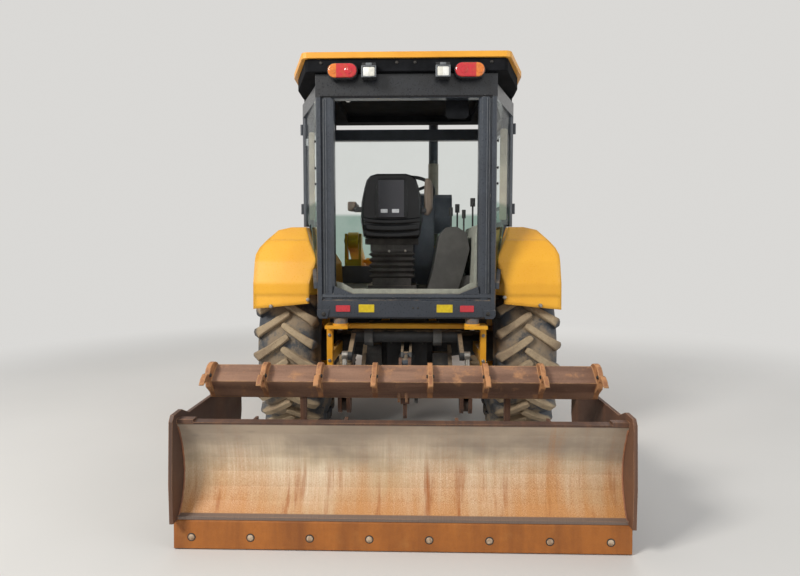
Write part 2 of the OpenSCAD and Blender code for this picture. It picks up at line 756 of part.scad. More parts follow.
module knuckle() {
    z = front_tyre_r;
    color(dark) on_axle() {
        block(king_x - 35, king_x + 75, wheelbase - 40, wheelbase + 40, z + 66, z + 96);
        block(king_x - 35, king_x + 75, wheelbase - 40, wheelbase + 40, z - 96, z - 66);
        block(king_x + 41, king_x + 75, wheelbase - 40, wheelbase + 40, z - 96, z + 96);
        disc_x(king_x + 75, front_half - 51, [wheelbase, z], 60);
        disc_x(king_x + 75, front_half - 4, [wheelbase, z], 44.6);
        block(king_x - 25, king_x + 25, wheelbase - 200, wheelbase - 40, z - 96, z - 76);
    }
}
module knuckle_left() { mirror([1, 0, 0]) knuckle(); }
module knuckle_right() { knuckle(); }

module tie_rod() {
    z = front_tyre_r - 61.5;
    color(steel) on_axle() {
        disc_x(-king_x + 20, king_x - 20, [wheelbase - 180, z], 14);
        both() translate([king_x - 2, wheelbase - 180, z - 14.2]) cylinder(h = 28, r = 24, $fn = fine);
    }
}

// Doors

// door on its hinge line; the side leans in a little towards the front
module door_side(x0, x1) {
    lean = (a_post[0] - b_post[0]) / (a_post[1] - b_post[1]);
    multmatrix([[1, lean, 0, b_post[0] - 30 - lean * b_post[1]], [0, 1, 0, b_post[1] + 0.6], [0, 0, 1, 0]])
        slab_x(x0, x1) children();
}
module door_frame() {
    z1 = header_z - 6;
    b = 40;
    w = 915;
    color(dark) on_axle() {
        door_side(0, 30)
            difference() {
                polygon([[0, 1606], [500, 1606], [650, 1420], [790, 1140], [w - 20, 1140], [w, 1160],
                    [w, z1 - 20], [w - 20, z1], [0, z1]]);
                polygon([[b, 1606 + b], [520, 1606 + b], [680, 1445], [815, 1140 + b],
                    [w - b, 1140 + b], [w - b, 1750], [b, 1750]]);
                polygon([[b, 1775], [w - b, 1775], [w - b, z1 - b - 20], [w - b - 20, z1 - b],
                    [b + 20, z1 - b], [b, z1 - b - 20]]);
            }
        // handle
        door_side(30, 52) polygon([[w - 60, 1560], [w - 30, 1560], [w - 30, 1700], [w - 60, 1700]]);
        // hinges, their pins on the door's axis
        for (z = [1690, 2300]) {
            translate([door_hinge[0], door_hinge[1], z]) cylinder(h = 80, r = 11, $fn = fine);
            block(b_post[0] - 12, door_hinge[0], door_hinge[1] + 3, door_hinge[1] + 11, z, z + 80);
        }
    }
}
module door_pane() {
    z1 = header_z - 6;
    b = 40.3;
    w = 915;
    color(glass) on_axle()
        door_side(12, 18) {
            polygon([[b, 1606 + b], [520, 1606 + b], [680.3, 1445.3], [815.3, 1140 + b],
                [w - b, 1140 + b], [w - b, 1749.7], [b, 1749.7]]);
            polygon([[b, 1775.3], [w - b, 1775.3], [w - b, z1 - b - 20], [w - b - 20, z1 - b],
                [b + 20, z1 - b], [b, z1 - b - 20]]);
        }
}
module door_left() { mirror([1, 0, 0]) door_frame(); }
module door_right() { door_frame(); }
module door_glass_left() { mirror([1, 0, 0]) door_pane(); }
module door_glass_right() { door_pane(); }

// Loader

module boom() {
    x0 = arm_x - arm_t / 2;
    x1 = arm_x + arm_t / 2;
    color(yellow) on_axle() {
        both() {
            difference() {
                union() {
                    slab_x(x0, x1)
                        polygon([boom_at + [-10, 78], boom_at + [30, 82],
                            [2000, 1255], knee + [0, 105], knee + [80, 60], pin_at + [60, 50],
                            pin_at + [-58, -42], knee + [-70, -105], [1800, 1110], boom_at + [0, -85]]);
                    disc_x(x0, x1, boom_at, 84);
                    disc_x(x0, x1, pin_at, 72);
                    for (s = [-1, 1])
                        strap(arm_x + s * 31 - 9, arm_x + s * 31 + 9, lift_eye + [0, 110], lift_eye, 80, 44);
                }
                disc_x(arm_x - 21, arm_x + 21, lift_eye, 84);
            }
            disc_x(x0 - 27, x1 + 27, boom_at, 29.7);
            disc_x(x0 - 28, x1 + 28, pin_at, 30);
            disc_x(link_x - 38, x0, tilt_base, 20);
            disc_x(link_x - 42, x0, crank_at, 25);
        }
        disc_x(-x0, x0, (knee + pin_at) / 2 + [-19, -16], 60);
    }
}

// barrel of a cylinder from p towards q, with a bored eye at p and a bore for the rod
module barrel(x, p, q, start, end, r, rod_r, depth, eye_r, eye_half, pin_r) {
    d = (q - p) / norm(q - p);
    difference() {
        rod(x, p + d * start, p + d * end, r);
        rod(x, p + d * depth, p + d * (end + 1), rod_r + 0.6);
        disc_x(x - r - 1, x + r + 1, p, eye_r - 3);
    }
    difference() {
        disc_x(x - eye_half, x + eye_half, p, eye_r);
        disc_x(x - eye_half - 1, x + eye_half + 1, p, pin_r + 0.6);
    }
}
// rod of a cylinder from p towards its eye at q
module piston(x, p, q, start, r, eye_r, eye_half) {
    d = (q - p) / norm(q - p);
    rod(x, p + d * start, q, r);
    disc_x(x - eye_half, x + eye_half, q, eye_r);
}
lift_len = norm(lift_eye - lift_base);
tilt_len = norm(crank_eye - tilt_base);

module lift_barrels() {
    color(yellow) on_axle()
        both() barrel(arm_x, lift_base, lift_eye, 30, lift_len - 98, 45, 20, 55, 42, 30, 24);
}
module lift_rods() {
    color(steel) on_axle()
        both() piston(arm_x, lift_base, lift_eye, 60, 20, 34, 20);
}
module bucket_barrels() {
    color(yellow) on_axle()
        both() barrel(link_x, tilt_base, crank_eye, 25, tilt_len - 210, 36, 18, 200, 34, 20, 20);
}
module bucket_rods() {
    color(steel) on_axle()
        both() piston(link_x, tilt_base, crank_eye, tilt_len - 500, 18, 30, 19.5);
}
module bucket_levers() {
    color(yellow) on_axle()
        both()
            for (s = [-1, 1])
                difference() {
                    slab_x(link_x + s * 29 - 8, link_x + s * 29 + 8)
                        polygon([crank_at + [45, -20], link_top + [38, -4], link_top + [14, 34],
                            crank_eye + [-4, 42], crank_eye + [-38, -6], crank_at + [-38, -26],
                                crank_at + [0, -48]]);
                    disc_x(link_x + s * 29 - 9, link_x + s * 29 + 9, crank_at, 25.6);
                    disc_x(link_x + s * 29 - 9, link_x + s * 29 + 9, link_top, 18.6);
                }
}
module bucket_links() {
    color(yellow) on_axle()
        both() {
            eye_bar(link_x - 20, link_x + 20, link_top, link_foot, 34, 34);
            disc_x(link_x - 38, link_x + 38, link_top, 18);
        }
}

module bucket() {
    y = bucket_back_y;
    h = bucket_h;
    d = bucket_depth;
    t = 16;
    w = bucket_w / 2;
    color(yellow) on_axle() {
        slab_x(-w, w)
            polygon([[y + d, 0], [y + 90, 0], [y + 20, 40], [y, 120], [y, h - 90], [y + 60, h],
                [y + 70, h - 10], [y + t, h - 96], [y + t, 126], [y + 32, 54], [y + 96, t],
                [y + d - 120, t + 6]]);
        both() {
            slab_x(w - t, w)
                polygon([[y + d - 60, 0], [y + 90, 0], [y + 20, 40], [y, 120], [y, h - 90],
                    [y + 60, h], [y + d - 330, 300], [y + d - 80, 30]]);
            // cutter bolted inside the end plate
            slab_x(w - t - 10, w - t + 1)
                polygon([[y + d - 90, 20], [y + d - 84, 34], [y + d - 334, 304], [y + 250, 438],
                    [y + 230, 402], [y + d - 360, 270], [y + d - 170, 20]]);
            for (x = [arm_x - arm_t / 2 - 26, arm_x + arm_t / 2 + 6])
                difference() {
                    slab_x(x, x + 20)
                        polygon([[y + 5, 110], pin_at + [40, -70], pin_at + [-55, -50],
                            pin_at + [-60, 20], pin_at + [-30, 60], [y + 5, 460]]);
                    disc_x(x - 1, x + 21, pin_at, 30.6);
                }
            for (s = [-1, 1])
                slab_x(link_x + s * 31 - 10, link_x + s * 31 + 10)
                    polygon([[y + 5, 400], link_foot + [0, -60], link_foot + [-40, -10],
                        link_foot + [-20, 40], [y + 5, 512]]);
            disc_x(link_x + 20.5, link_x + 42, link_foot, 24);
        }
    }
}

// Hitch and scraper

module rockshaft() {
    color(rust) on_axle() {
        disc_x(-hitch_x, hitch_x, shaft_at, 45);
        both()
            eye_bar(hitch_x - 18, hitch_x + 12, shaft_at, lift_end, 42, 32);
    }
}
module lift_links() {
    color(steel) on_axle()
        both() {
            rod(hitch_x + 34, lift_end, lift_foot, 17);
            disc_x(hitch_x + 12.6, hitch_x + 52, lift_end, 30);
            disc_x(hitch_x + 15.6, hitch_x + 52, lift_foot, 30);
        }
}
module lower_links() {
    color(dark) on_axle()
        both() {
            strap(hitch_x - 15, hitch_x + 15, lower_pivot + [-60, 0], lower_end, 42, 34);
            eye_bar(hitch_x - 44.7, hitch_x + 15, lower_pivot, lower_pivot + [-80, -7], 44, 40);
            disc_x(hitch_x - 15.7, hitch_x + 15.7, lower_end, 40);
        }
}
module top_link() {
    color(dark) on_axle() {
        rod(0, top_front, top_end, 17);
        disc_x(-19.7, 19.7, top_front, 32);
        disc_x(-19.7, 19.7, top_end, 32);
    }
}

module box_shell() {
    y = -blade_back;
    w = box_w / 2;
    t = 18;
    h = box_h;
    color(rust) on_axle() {
        // mouldboard, hollow to the rear, with a ledge over the cutting edge
        slab_x(-w + t, w - t)
            polygon([[y + 8, 142], [y + 6, 158], [y + 30, 166], [y + 62, 215], [y + 88, 275],
                [y + 101, 345], [y + 96, 415], [y + 80, 480], [y + 55, 545], [y + 30, h - 12],
                [y + 24, h], [y + 84, h], [y + 84, h - 12], [y + 46, h - 14], [y + 72, 550],
                [y + 98, 482], [y + 115, 415], [y + 120, 345], [y + 106, 268], [y + 80, 205],
                [y + 48, 152], [y + 46, 60], [y + 34, 60], [y + 34, 142]]);
        both() {
            slab_x(w - t, w)
                polygon([[y + 34, 18], [y + 34, 142], [y - 44, 142], [y - 46, 330], [y - 24, h + 14],
                    [y - 4, h + 40], [y + 90, h + 44], [y + 180, h + 6], [-1190, h + 6], [-1030, 560],
                    [-1010, 500], [-1010, 380], [-1120, 70], [-1180, 18]]);
            // bent bar over the corner
            slab_x(w - 96, w - t + 0.5)
                polygon([[y + 24, h - 6], [y + 24, h + 14], [y + 70, h + 14], [y + 84, h - 6]]);
            // gussets behind the blade
            for (x = [260, 700])
                slab_x(x, x + 14)
                    polygon([[y + 84, h - 4], [y + 150, h - 4], [y + 150, h - 40], [y + 118, 420],
                        [y + 98, 482]]);
        }
        block(-w + t, w - t, -1130, -1010, 500, 620);
        // chain hook under the cross tube
        slab_x(-28, 28) polygon([[-1110, 510], [-1030, 510], [-1045, 450], [-1095, 450]]);
        slab_x(-12, 12) polygon([[-1085, 460], [-1055, 460], [-1055, 375], [-1070, 352], [-1085, 375]]);
        both() {
            for (x = [hitch_x - 38, hitch_x + 16])
                slab_x(x, x + 22)
                    polygon([[-1128, 510], [-1128, 430], [-1112, 402], [-1088, 390], [-1052, 390],
                        [-1028, 402], [-1012, 430], [-1012, 510]]);
            slab_x(20, 38)
                polygon([[-1128, 610], [-1100, 715], [-1082, 735], [-1038, 735], [-1024, 715], [-1012, 610]]);
            // stand behind the cross tube
            slab_x(617, 655) polygon([[-1120, 510], [-1080, 510], [-1085, 330], [-1115, 330]]);
            slab_x(498, 522)
                polygon([[-1125, 520], [-1240, 570], [-1305, 596], [-1316, 625], [-1298, 658],
                    [-1262, 668], [-1125, 618]]);
        }
    }
}

module box_edge() {
    y = -blade_back;
    w = box_w / 2 - 0.5;
    color(rust) on_axle()
        slab_x(-w, w) polygon([[y, 6], [y + 12, 0], [y + 33.7, 0], [y + 33.7, 141.7],
            [y + 12, 141.7], [y + 6, 134]]);
}

// claw of the ripper bar: round back over the tube, hooked point to the rear
module claw(x) {
    arc = [for (a = [20 : 20 : 160]) bar_at + [-22, 30] + 74 * [cos(a) * 1.15, sin(a)]];
    slab_x(x - 12.5, x + 12.5)
        polygon(concat([bar_at + [62, 30]], arc, [bar_at + [-136, 62], bar_at + [-168, 44], bar_at + [-192, 16],
            bar_at + [-150, 34], bar_at + [-122, 34], bar_at + [-104, 22], bar_at + [-92, -14],
            bar_at + [-40, -50]]));
}

module ripper_bar() {
    span = bar_len - 2 * 12.5;
    color(rust) on_axle() {
        translate([0, bar_at[0], bar_at[1]]) rotate([35, 0, 0])
            block(-bar_len / 2, bar_len / 2, -bar_side / 2, bar_side / 2, -bar_side / 2, bar_side / 2);
        for (i = [0 : claw_count - 1])
            claw(-span / 2 + i * span / (claw_count - 1));
        both() {
            strap(530, 556, rip_pivot, bar_at, 36, 50);
            disc_x(522.6, 556, rip_pivot, 40);
            // lug under the middle of the bar
            strap(14, 26, bar_at + [-4, -105], bar_at + [0, -40], 26, 40);
        }
    }
}

main_frame();
tow_plate();
transaxle();
engine();
hood();
grille();
front_axle();
towers();
fenders();
cab_rear();
cab_sides();
cab_front();
cab_floor();
cab_mounts();
roof_cap();
roof_liner();
cab_glass();
seat();
seat_base();
consoles();
dash();
exhaust();
rear_lamps();
side_tanks();
hitch_bracket();
tyre_rear_left();
tyre_rear_right();
rim_rear_left();
rim_rear_right();
tyre_front_left();
tyre_front_right();
rim_front_left();
rim_front_right();
knuckle_left();
knuckle_right();
tie_rod();
door_left();
door_right();
door_glass_left();
door_glass_right();
boom();
lift_barrels();
lift_rods();
bucket_barrels();
bucket_rods();
bucket_levers();
bucket_links();
bucket();
rockshaft();
lift_links();
lower_links();
top_link();
box_shell();
box_edge();
ripper_bar();
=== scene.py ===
"""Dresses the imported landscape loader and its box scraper, and sets up the studio round it."""

import json
import logging
import math
import random
from dataclasses import dataclass, field
from enum import Enum
from typing import Callable, Sequence

import bmesh
import bpy
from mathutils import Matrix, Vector


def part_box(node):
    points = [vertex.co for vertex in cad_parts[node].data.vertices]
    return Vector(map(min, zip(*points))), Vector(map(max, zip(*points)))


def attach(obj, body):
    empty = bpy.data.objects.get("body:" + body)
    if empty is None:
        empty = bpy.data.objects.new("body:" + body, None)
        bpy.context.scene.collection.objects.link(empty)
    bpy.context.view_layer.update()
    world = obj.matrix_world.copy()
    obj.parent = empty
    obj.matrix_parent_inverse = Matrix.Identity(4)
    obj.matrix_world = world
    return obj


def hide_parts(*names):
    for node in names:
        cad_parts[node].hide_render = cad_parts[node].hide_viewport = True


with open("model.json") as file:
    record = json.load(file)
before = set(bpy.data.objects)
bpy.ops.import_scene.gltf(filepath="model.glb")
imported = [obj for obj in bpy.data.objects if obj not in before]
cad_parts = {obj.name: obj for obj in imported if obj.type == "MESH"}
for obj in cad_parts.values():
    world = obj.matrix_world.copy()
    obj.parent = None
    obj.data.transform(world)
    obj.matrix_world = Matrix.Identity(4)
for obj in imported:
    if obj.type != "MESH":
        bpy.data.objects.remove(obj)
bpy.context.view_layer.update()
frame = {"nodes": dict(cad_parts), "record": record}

log = logging.getLogger("loader")
Point = tuple[float, float, float]
Flat = tuple[float, float]
Colour = tuple[float, float, float]
Inputs = dict[str | int, object]
AXLE = (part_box("tyre_rear_left")[0][1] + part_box("tyre_rear_left")[1][1]) / 2
SIDES = (("left", -1), ("right", 1))
EVENLY = (1.0, 1.0, 1.0)


def at(x: float, y: float, z: float) -> Point:
    """A point given in millimetres, with y measured from the rear axle, in the frame's metres."""
    return (x / 1000, y / 1000 + AXLE, z / 1000)


def rgb(*screen: int) -> Colour:
    """Turns a colour as seen on a screen, 0 to 255, into the renderer's linear values."""
    return tuple(v / 12.92 if v <= 0.04045 else ((v + 0.055) / 1.055) ** 2.4
                 for v in (level / 255 for level in screen))


class Grain(Enum):
    """How a finish's pattern runs."""

    EVEN = EVENLY
    STREAKED = (1.0, 1.0, 0.12)
    ALONG = (0.15, 1.0, 1.0)


class Facing(Enum):
    """Which way a small part looks: along it, then the two directions across it."""

    REAR = ((0, -1, 0), (1, 0, 0), (0, 0, 1))
    FRONT = ((0, 1, 0), (-1, 0, 0), (0, 0, 1))
    RIGHT = ((1, 0, 0), (0, 1, 0), (0, 0, 1))
    LEFT = ((-1, 0, 0), (0, -1, 0), (0, 0, 1))
    UP = ((0, 0, 1), (1, 0, 0), (0, 1, 0))

    @classmethod
    def out(cls, sign: int) -> "Facing":
        """Away from the middle of the machine, on the side with that sign."""
        return cls.RIGHT if sign > 0 else cls.LEFT


class Across(Enum):
    """The axis that an outline is drawn out along."""

    X = 0
    Y = 1
    Z = 2


def joined(operation: str) -> Callable[..., "Signal"]:
    """The method that joins a signal to another, or to a number, by one step of arithmetic."""
    return lambda self, other=0.0: self.web.math(operation, self, other)


@dataclass(frozen=True)
class Signal:
    """A value in a material, which arithmetic signs join to others."""

    web: "Web"
    socket: bpy.types.NodeSocket

    __add__ = joined("ADD")
    __sub__ = joined("SUBTRACT")
    __mul__ = joined("MULTIPLY")
    __mod__ = joined("MODULO")
    __abs__ = joined("ABSOLUTE")
    or_more = joined("MAXIMUM")
    or_less = joined("MINIMUM")

    def mapped(self, start: float, end: float, low: float, high: float, curve: str = "LINEAR") -> "Signal":
        """Turns the range from start to end into the range from low to high."""
        inputs = {"Value": self, "From Min": start, "From Max": end, "To Min": low, "To Max": high}
        return self.web.node("MapRange", "Result", inputs, interpolation_type=curve)

    def ramp(self, low: float, high: float) -> "Signal":
        """A smooth step from 0 at low to 1 at high."""
        return self.mapped(low, high, 0.0, 1.0, "SMOOTHSTEP")


class Web:
    """The nodes of a material or of the sky."""

    ENDS = ("ShaderNodeOutputMaterial", "ShaderNodeOutputWorld")
    SHADERS = ("ShaderNodeBsdfPrincipled", "ShaderNodeBackground")

    def __init__(self, tree: bpy.types.NodeTree) -> None:
        """Takes the tree that the nodes go to.

        Args:
            tree: the node tree.
        """
        self.tree = tree
        self.end, self.shader = (next(n for n in tree.nodes if n.bl_idname in kinds)
                                 for kinds in (self.ENDS, self.SHADERS))

    def feed(self, socket: bpy.types.NodeSocket, source: object) -> None:
        """Feeds a socket.

        Args:
            socket: the socket.
            source: a signal, another socket, a number or a colour.
        """
        source = source.socket if isinstance(source, Signal) else source
        if isinstance(source, bpy.types.NodeSocket):
            self.tree.links.new(source, socket)
        elif isinstance(source, tuple) and len(socket.default_value) == 4:
            socket.default_value = (*source, 1.0)
        else:
            socket.default_value = source

    def node(self, kind: str, output: str | int, inputs: Inputs | None = None, **settings: object) -> Signal:
        """Adds a node.

        Args:
            kind: its type, without ShaderNode in front.
            output: which of its outputs is wanted.
            inputs: what feeds its sockets.
            settings: its other properties.

        Returns:
            That output.
        """
        node = self.tree.nodes.new("ShaderNode" + kind)
        for name, value in settings.items():
            setattr(node, name, value)
        for name, value in (inputs or {}).items():
            self.feed(node.inputs[name], value)
        return Signal(self, node.outputs[output])

    def show(self, factor: Signal, near: bpy.types.Node, far: Signal) -> None:
        """Sends two shaders to the output, near where factor is 0 and far where it is 1."""
        both = self.node("MixShader", 0, {0: factor, 1: near.outputs[0], 2: far})
        self.feed(self.end.inputs["Surface"], both)

    def put(self, **values: object) -> None:
        """Feeds the surface shader's sockets, with _ for a space in a name."""
        for name, value in values.items():
            self.feed(self.shader.inputs[name.replace("_", " ")], value)

    def position(self, stretch: Point = EVENLY) -> Signal:
        """The point on the object, in metres.

        Args:
            stretch: what each axis is multiplied by.

        Returns:
            Its coordinates.
        """
        place = self.node("TexCoord", "Object")
        if stretch == EVENLY:
            return place
        return self.node("Mapping", "Vector", {"Scale": stretch, "Vector": place})

    def noise(self, scale: float, detail: float, rough: float, stretch: Point = EVENLY) -> Signal:
        """Noise between 0 and 1 over the object."""
        inputs = {"Scale": scale, "Detail": detail, "Roughness": rough, "Vector": self.position(stretch)}
        return self.node("TexNoise", "Fac", inputs)

    def math(self, operation: str, *sources: object) -> Signal:
        """One step of arithmetic."""
        return self.node("Math", "Value", dict(enumerate(sources)), operation=operation)

    def vector(self, operation: str, *sources: object) -> Signal:
        """One step of arithmetic with vectors."""
        output = "Value" if operation in ("LENGTH", "DOT_PRODUCT") else "Vector"
        return self.node("VectorMath", output, dict(enumerate(sources)), operation=operation)

    def along(self, axis: str) -> Signal:
        """The point's place along one axis of the frame, in metres."""
        return self.node("SeparateXYZ", axis, {0: self.position()})

    def inside(self, axis: str, low: float, high: float, soft: float = 0.002) -> Signal:
        """1 between two places on an axis, 0 outside them."""
        place = self.along(axis)
        return place.ramp(low - soft, low + soft) * place.ramp(high + soft, high - soft)

    def radius(self, centre: Point) -> Signal:
        """Distance from a wheel's axle, which runs along X through centre."""
        arm = self.vector("SUBTRACT", self.position(), centre)
        return self.vector("LENGTH", self.vector("MULTIPLY", arm, (0.0, 1.0, 1.0)))

    def upward(self) -> Signal:
        """1 on a surface that looks up, where dust settles."""
        return self.node("SeparateXYZ", "Z", {0: self.node("NewGeometry", "Normal")}).ramp(0.55, 0.95)

    def edges(self, width: float) -> tuple[Signal, Signal]:
        """Rounds sharp edges in the shading.

        Args:
            width: how far from an edge the rounding reaches, in metres.

        Returns:
            The rounded normal, and 1 on the edges and 0 away from them.
        """
        normal = self.node("Bevel", "Normal", {"Radius": width}, samples=4)
        return normal, self.vector("DOT_PRODUCT", normal, self.node("NewGeometry", "Normal")).ramp(0.97, 0.86)

    def mix(self, factor: object, a: object, b: object) -> Signal:
        """Colour a where factor is 0 and colour b where it is 1."""
        return self.node("Mix", 2, {0: factor, 6: a, 7: b}, data_type="RGBA")

    def bump(self, height: Signal, strength: float, depth: float = 0.004,
             normal: Signal | None = None) -> None:
        """Raises the surface by a height map.

        Args:
            height: the map.
            strength: how much of it shows.
            depth: how high it rises, in metres.
            normal: the rounded normal that it starts from, where there is one.
        """
        inputs = {"Strength": strength, "Distance": depth, "Height": height}
        if normal is not None:
            inputs["Normal"] = normal
        self.put(Normal=self.node("Bump", "Normal", inputs))

    def seen(self) -> Signal:
        """Tells what is looked at from what only lights the object.

        Returns:
            1 for what the camera, a reflection or a pane of glass shows, else 0.
        """
        camera, mirror, pane = (self.node("LightPath", f"Is {kind} Ray")
                                for kind in ("Camera", "Glossy", "Transmission"))
        return camera.or_more(mirror).or_more(pane)


class Coat:
    """A finish, whose material is built the first time that it is asked for."""

    name: str

    def paint(self, web: Web) -> None:
        """Joins the nodes of the surface."""

    def make(self) -> bpy.types.Material:
        """Looks the material up by its name, or builds it.

        Returns:
            The material.
        """
        if self.name in bpy.data.materials:
            return bpy.data.materials[self.name]
        material = bpy.data.materials.new(self.name)
        material.use_nodes = True
        self.paint(Web(material.node_tree))
        return material


@dataclass(frozen=True)
class Band:
    """A part of a piece, between two places on an axis in the frame, with a colour of its own."""

    axis: str
    low: float
    high: float
    colour: Colour


DUST = rgb(176, 152, 122)


@dataclass(frozen=True)
class Finish(Coat):
    """A worn, dusty or rusty surface made of noise, with its relief and its gloss."""

    name: str
    base: Colour
    shade: Colour
    rough: float = 0.5
    rough_spread: float = 0.12
    metal: float = 0.0
    scale: float = 6.0
    patch: float = 0.5
    soft: float = 0.18
    relief: float = 0.15
    relief_scale: float = 90.0
    dust: Colour = DUST
    dust_low: float = 0.0
    dust_high: float = 0.0
    dust_top: float = 1.1
    settled: float = 0.0
    worn: Colour = (0.3, 0.3, 0.3)
    wear: float = 0.0
    edge: float = 0.005
    shine: float = 0.5
    coat: float = 0.0
    grain: Grain = Grain.EVEN
    bands: tuple[Band, ...] = ()

    def paint(self, web: Web) -> None:
        """Lays shade, bands, worn edges and dust over the base colour.

        Args:
            web: the material's nodes.
        """
        broad = web.noise(self.scale, 5.0, 0.62, self.grain.value)
        fine = web.noise(self.relief_scale, 3.0, 0.6)
        mottle = web.noise(self.scale * 5.3, 4.0, 0.7).ramp(0.35, 0.75)
        colour = web.mix(broad.ramp(self.patch - self.soft, self.patch + self.soft), self.base, self.shade)
        for band in self.bands:
            colour = web.mix(web.inside(band.axis, band.low, band.high), colour, band.colour)
        colour = web.mix(mottle * 0.3, colour, self.shade)
        normal, edge = web.edges(self.edge)
        if self.wear:
            chips = web.noise(38.0, 5.0, 0.7).ramp(0.62 - self.wear * 0.25, 0.66)
            colour = web.mix(edge * chips, colour, self.worn)
        if self.dust_low or self.dust_high or self.settled:
            level = web.along("Z").mapped(0.0, self.dust_top, self.dust_low, self.dust_high)
            level += web.upward() * self.settled
            cover = (web.noise(9.0, 6.0, 0.65) + (level - 0.5)).ramp(0.42, 0.78)
            colour = web.mix(cover * level.or_less(0.85), colour, self.dust)
        rough = fine.mapped(0.3, 0.7, self.rough - self.rough_spread, self.rough + self.rough_spread)
        web.put(Base_Color=colour, Roughness=rough, Metallic=self.metal, Specular_IOR_Level=self.shine,
                Coat_Weight=self.coat, Coat_Roughness=0.18)
        web.bump(fine + broad * 1.5, self.relief, normal=normal)


@dataclass(frozen=True)
class WornBlade(Coat):
    """The scraper's plate: grey soil film above, darkened by painted shade, a bright pale painted highlight
    in the hollow, orange rust below.
    """

    name: str = "scraper_plate"
    ledge: float = 0.142
    top: float = 0.594
    rear: float = 1.95
    half: float = 1.056

    def paint(self, web: Web) -> None:
        """Lays film with painted shade, a pale painted highlight, rust, pits and drips over the hollow, and
        iron over the rest.

        Args:
            web: the material's nodes.
        """
        height, side = web.along("Z"), web.along("X")
        streak = web.noise(1.0, 6.0, 0.62, (22.0, 3.0, 1.1))
        hair = web.noise(1.0, 4.0, 0.7, (160.0, 8.0, 6.0))
        cloud = web.noise(2.4, 5.0, 0.55, (1.0, 1.0, 2.2))
        broad = web.noise(1.0, 3.0, 0.5, (1.7, 1.0, 0.4))
        speck = web.noise(330.0, 4.0, 0.75, (1.5, 1.0, 0.6))
        level = height + (streak - 0.5) * 0.18 + (cloud - 0.5) * 0.25

        smudge = web.noise(2.0, 3.0, 0.5, (1.6, 1.0, 5.0)).ramp(0.62, 0.74) * height.ramp(0.42, 0.5)
        # Painted shade and highlight: the grey film above is darker partly as soil and partly as painted
        # shade where the top of the hollow faces down, and the pale mix below it is a painted highlight where
        # the hollow faces up.
        film = web.mix(cloud.ramp(0.34, 0.66), rgb(182, 165, 145), rgb(156, 142, 126))
        film = web.mix(smudge * 0.5, film, rgb(100, 94, 88))
        painted_highlight = web.mix(cloud.ramp(0.35, 0.65), rgb(238, 222, 196), rgb(214, 192, 158))
        painted_highlight = web.mix(hair.ramp(0.3, 0.7) * 0.45, painted_highlight, rgb(190, 164, 126))
        colour = web.mix(level.ramp(0.53, 0.3), film, painted_highlight)

        lower = level.mapped(0.14, 0.5, 1.25, 0.0)
        for part, weight in ((broad, 2.3), (speck, 2.2), (streak, 1.6)):
            lower += (part - 0.5) * weight
        rust = web.mix(speck.ramp(0.4, 0.62), rgb(210, 146, 76), rgb(176, 108, 46))
        colour = web.mix(lower.mapped(0.2, 1.15, 0.0, 1.0) * 0.9, colour, rust)
        pits = speck.ramp(0.58, 0.68) * height.ramp(0.5, 0.2)
        colour = web.mix(pits * 0.5, colour, rgb(146, 94, 48))
        drip = web.noise(1.0, 5.0, 0.6, (12.0, 3.0, 0.5)).ramp(0.54, 0.68) * level.ramp(0.46, 0.24)
        colour = web.mix(drip * 0.85, colour, rgb(160, 90, 32))

        ledge = web.mix(hair, rgb(140, 122, 110), rgb(98, 82, 74))
        colour = web.mix(web.inside("Z", self.ledge - 0.004, self.ledge + 0.024), colour, ledge)
        iron = web.mix(streak.ramp(0.4, 0.7), rgb(82, 60, 50), rgb(112, 78, 58))
        outside = height.ramp(self.top - 0.004, self.top + 0.004)
        outside = outside.or_more(web.along("Y").ramp(AXLE - self.rear - 0.005, AXLE - self.rear + 0.005))
        outside = outside.or_more(height.ramp(self.ledge - 0.006, self.ledge - 0.012))
        outside = outside.or_more(abs(side).ramp(self.half - 0.0005, self.half + 0.0005))
        colour = web.mix(outside, colour, iron)
        normal, edge = web.edges(0.004)
        colour = web.mix(edge * cloud.ramp(0.35, 0.6), colour, rgb(186, 140, 104))
        web.put(Base_Color=colour, Roughness=cloud.mapped(0.3, 0.7, 0.42, 0.66), Specular_IOR_Level=0.45)
        web.bump(speck + hair * 0.6, 0.25, 0.002, normal)


@dataclass(frozen=True)
class RipperRust(Coat):
    """The ripper's bar in brown scale, with its claws in brighter rust."""

    name: str = "ripper_rust"
    first_claw: float = -1.0025
    pitch: float = 0.2864
    half: float = 0.0128

    def paint(self, web: Web) -> None:
        """Tells claws from bar by their spacing, and brightens the edges with wear and a painted highlight.

        Args:
            web: the material's nodes.
        """
        long = web.noise(2.2, 6.0, 0.62, (0.5, 3.0, 5.0))
        grit = web.noise(160.0, 4.0, 0.7)
        patch = web.noise(11.0, 5.0, 0.65)
        scale = web.mix(long.ramp(0.36, 0.64), rgb(150, 114, 92), rgb(112, 82, 66))
        scale = web.mix(patch.ramp(0.52, 0.72), scale, rgb(176, 128, 90))
        scale = web.mix(grit.ramp(0.55, 0.7) * 0.5, scale, rgb(84, 62, 52))
        claw = web.mix(patch.ramp(0.38, 0.62), rgb(190, 134, 88), rgb(146, 98, 66))
        start = web.along("X") + (20.5 * self.pitch - self.first_claw)
        off = abs(start % self.pitch - self.pitch / 2)
        colour = web.mix(off.ramp(self.half + 0.002, self.half), scale, claw)
        normal, edge = web.edges(0.012)
        # Pale edges: wear, with a painted highlight along the bar's edges.
        colour = web.mix(edge * patch.ramp(0.3, 0.55), colour, rgb(212, 160, 110))
        web.put(Base_Color=colour, Roughness=grit.mapped(0.3, 0.7, 0.5, 0.8))
        web.bump(grit + patch, 0.4, normal=normal)


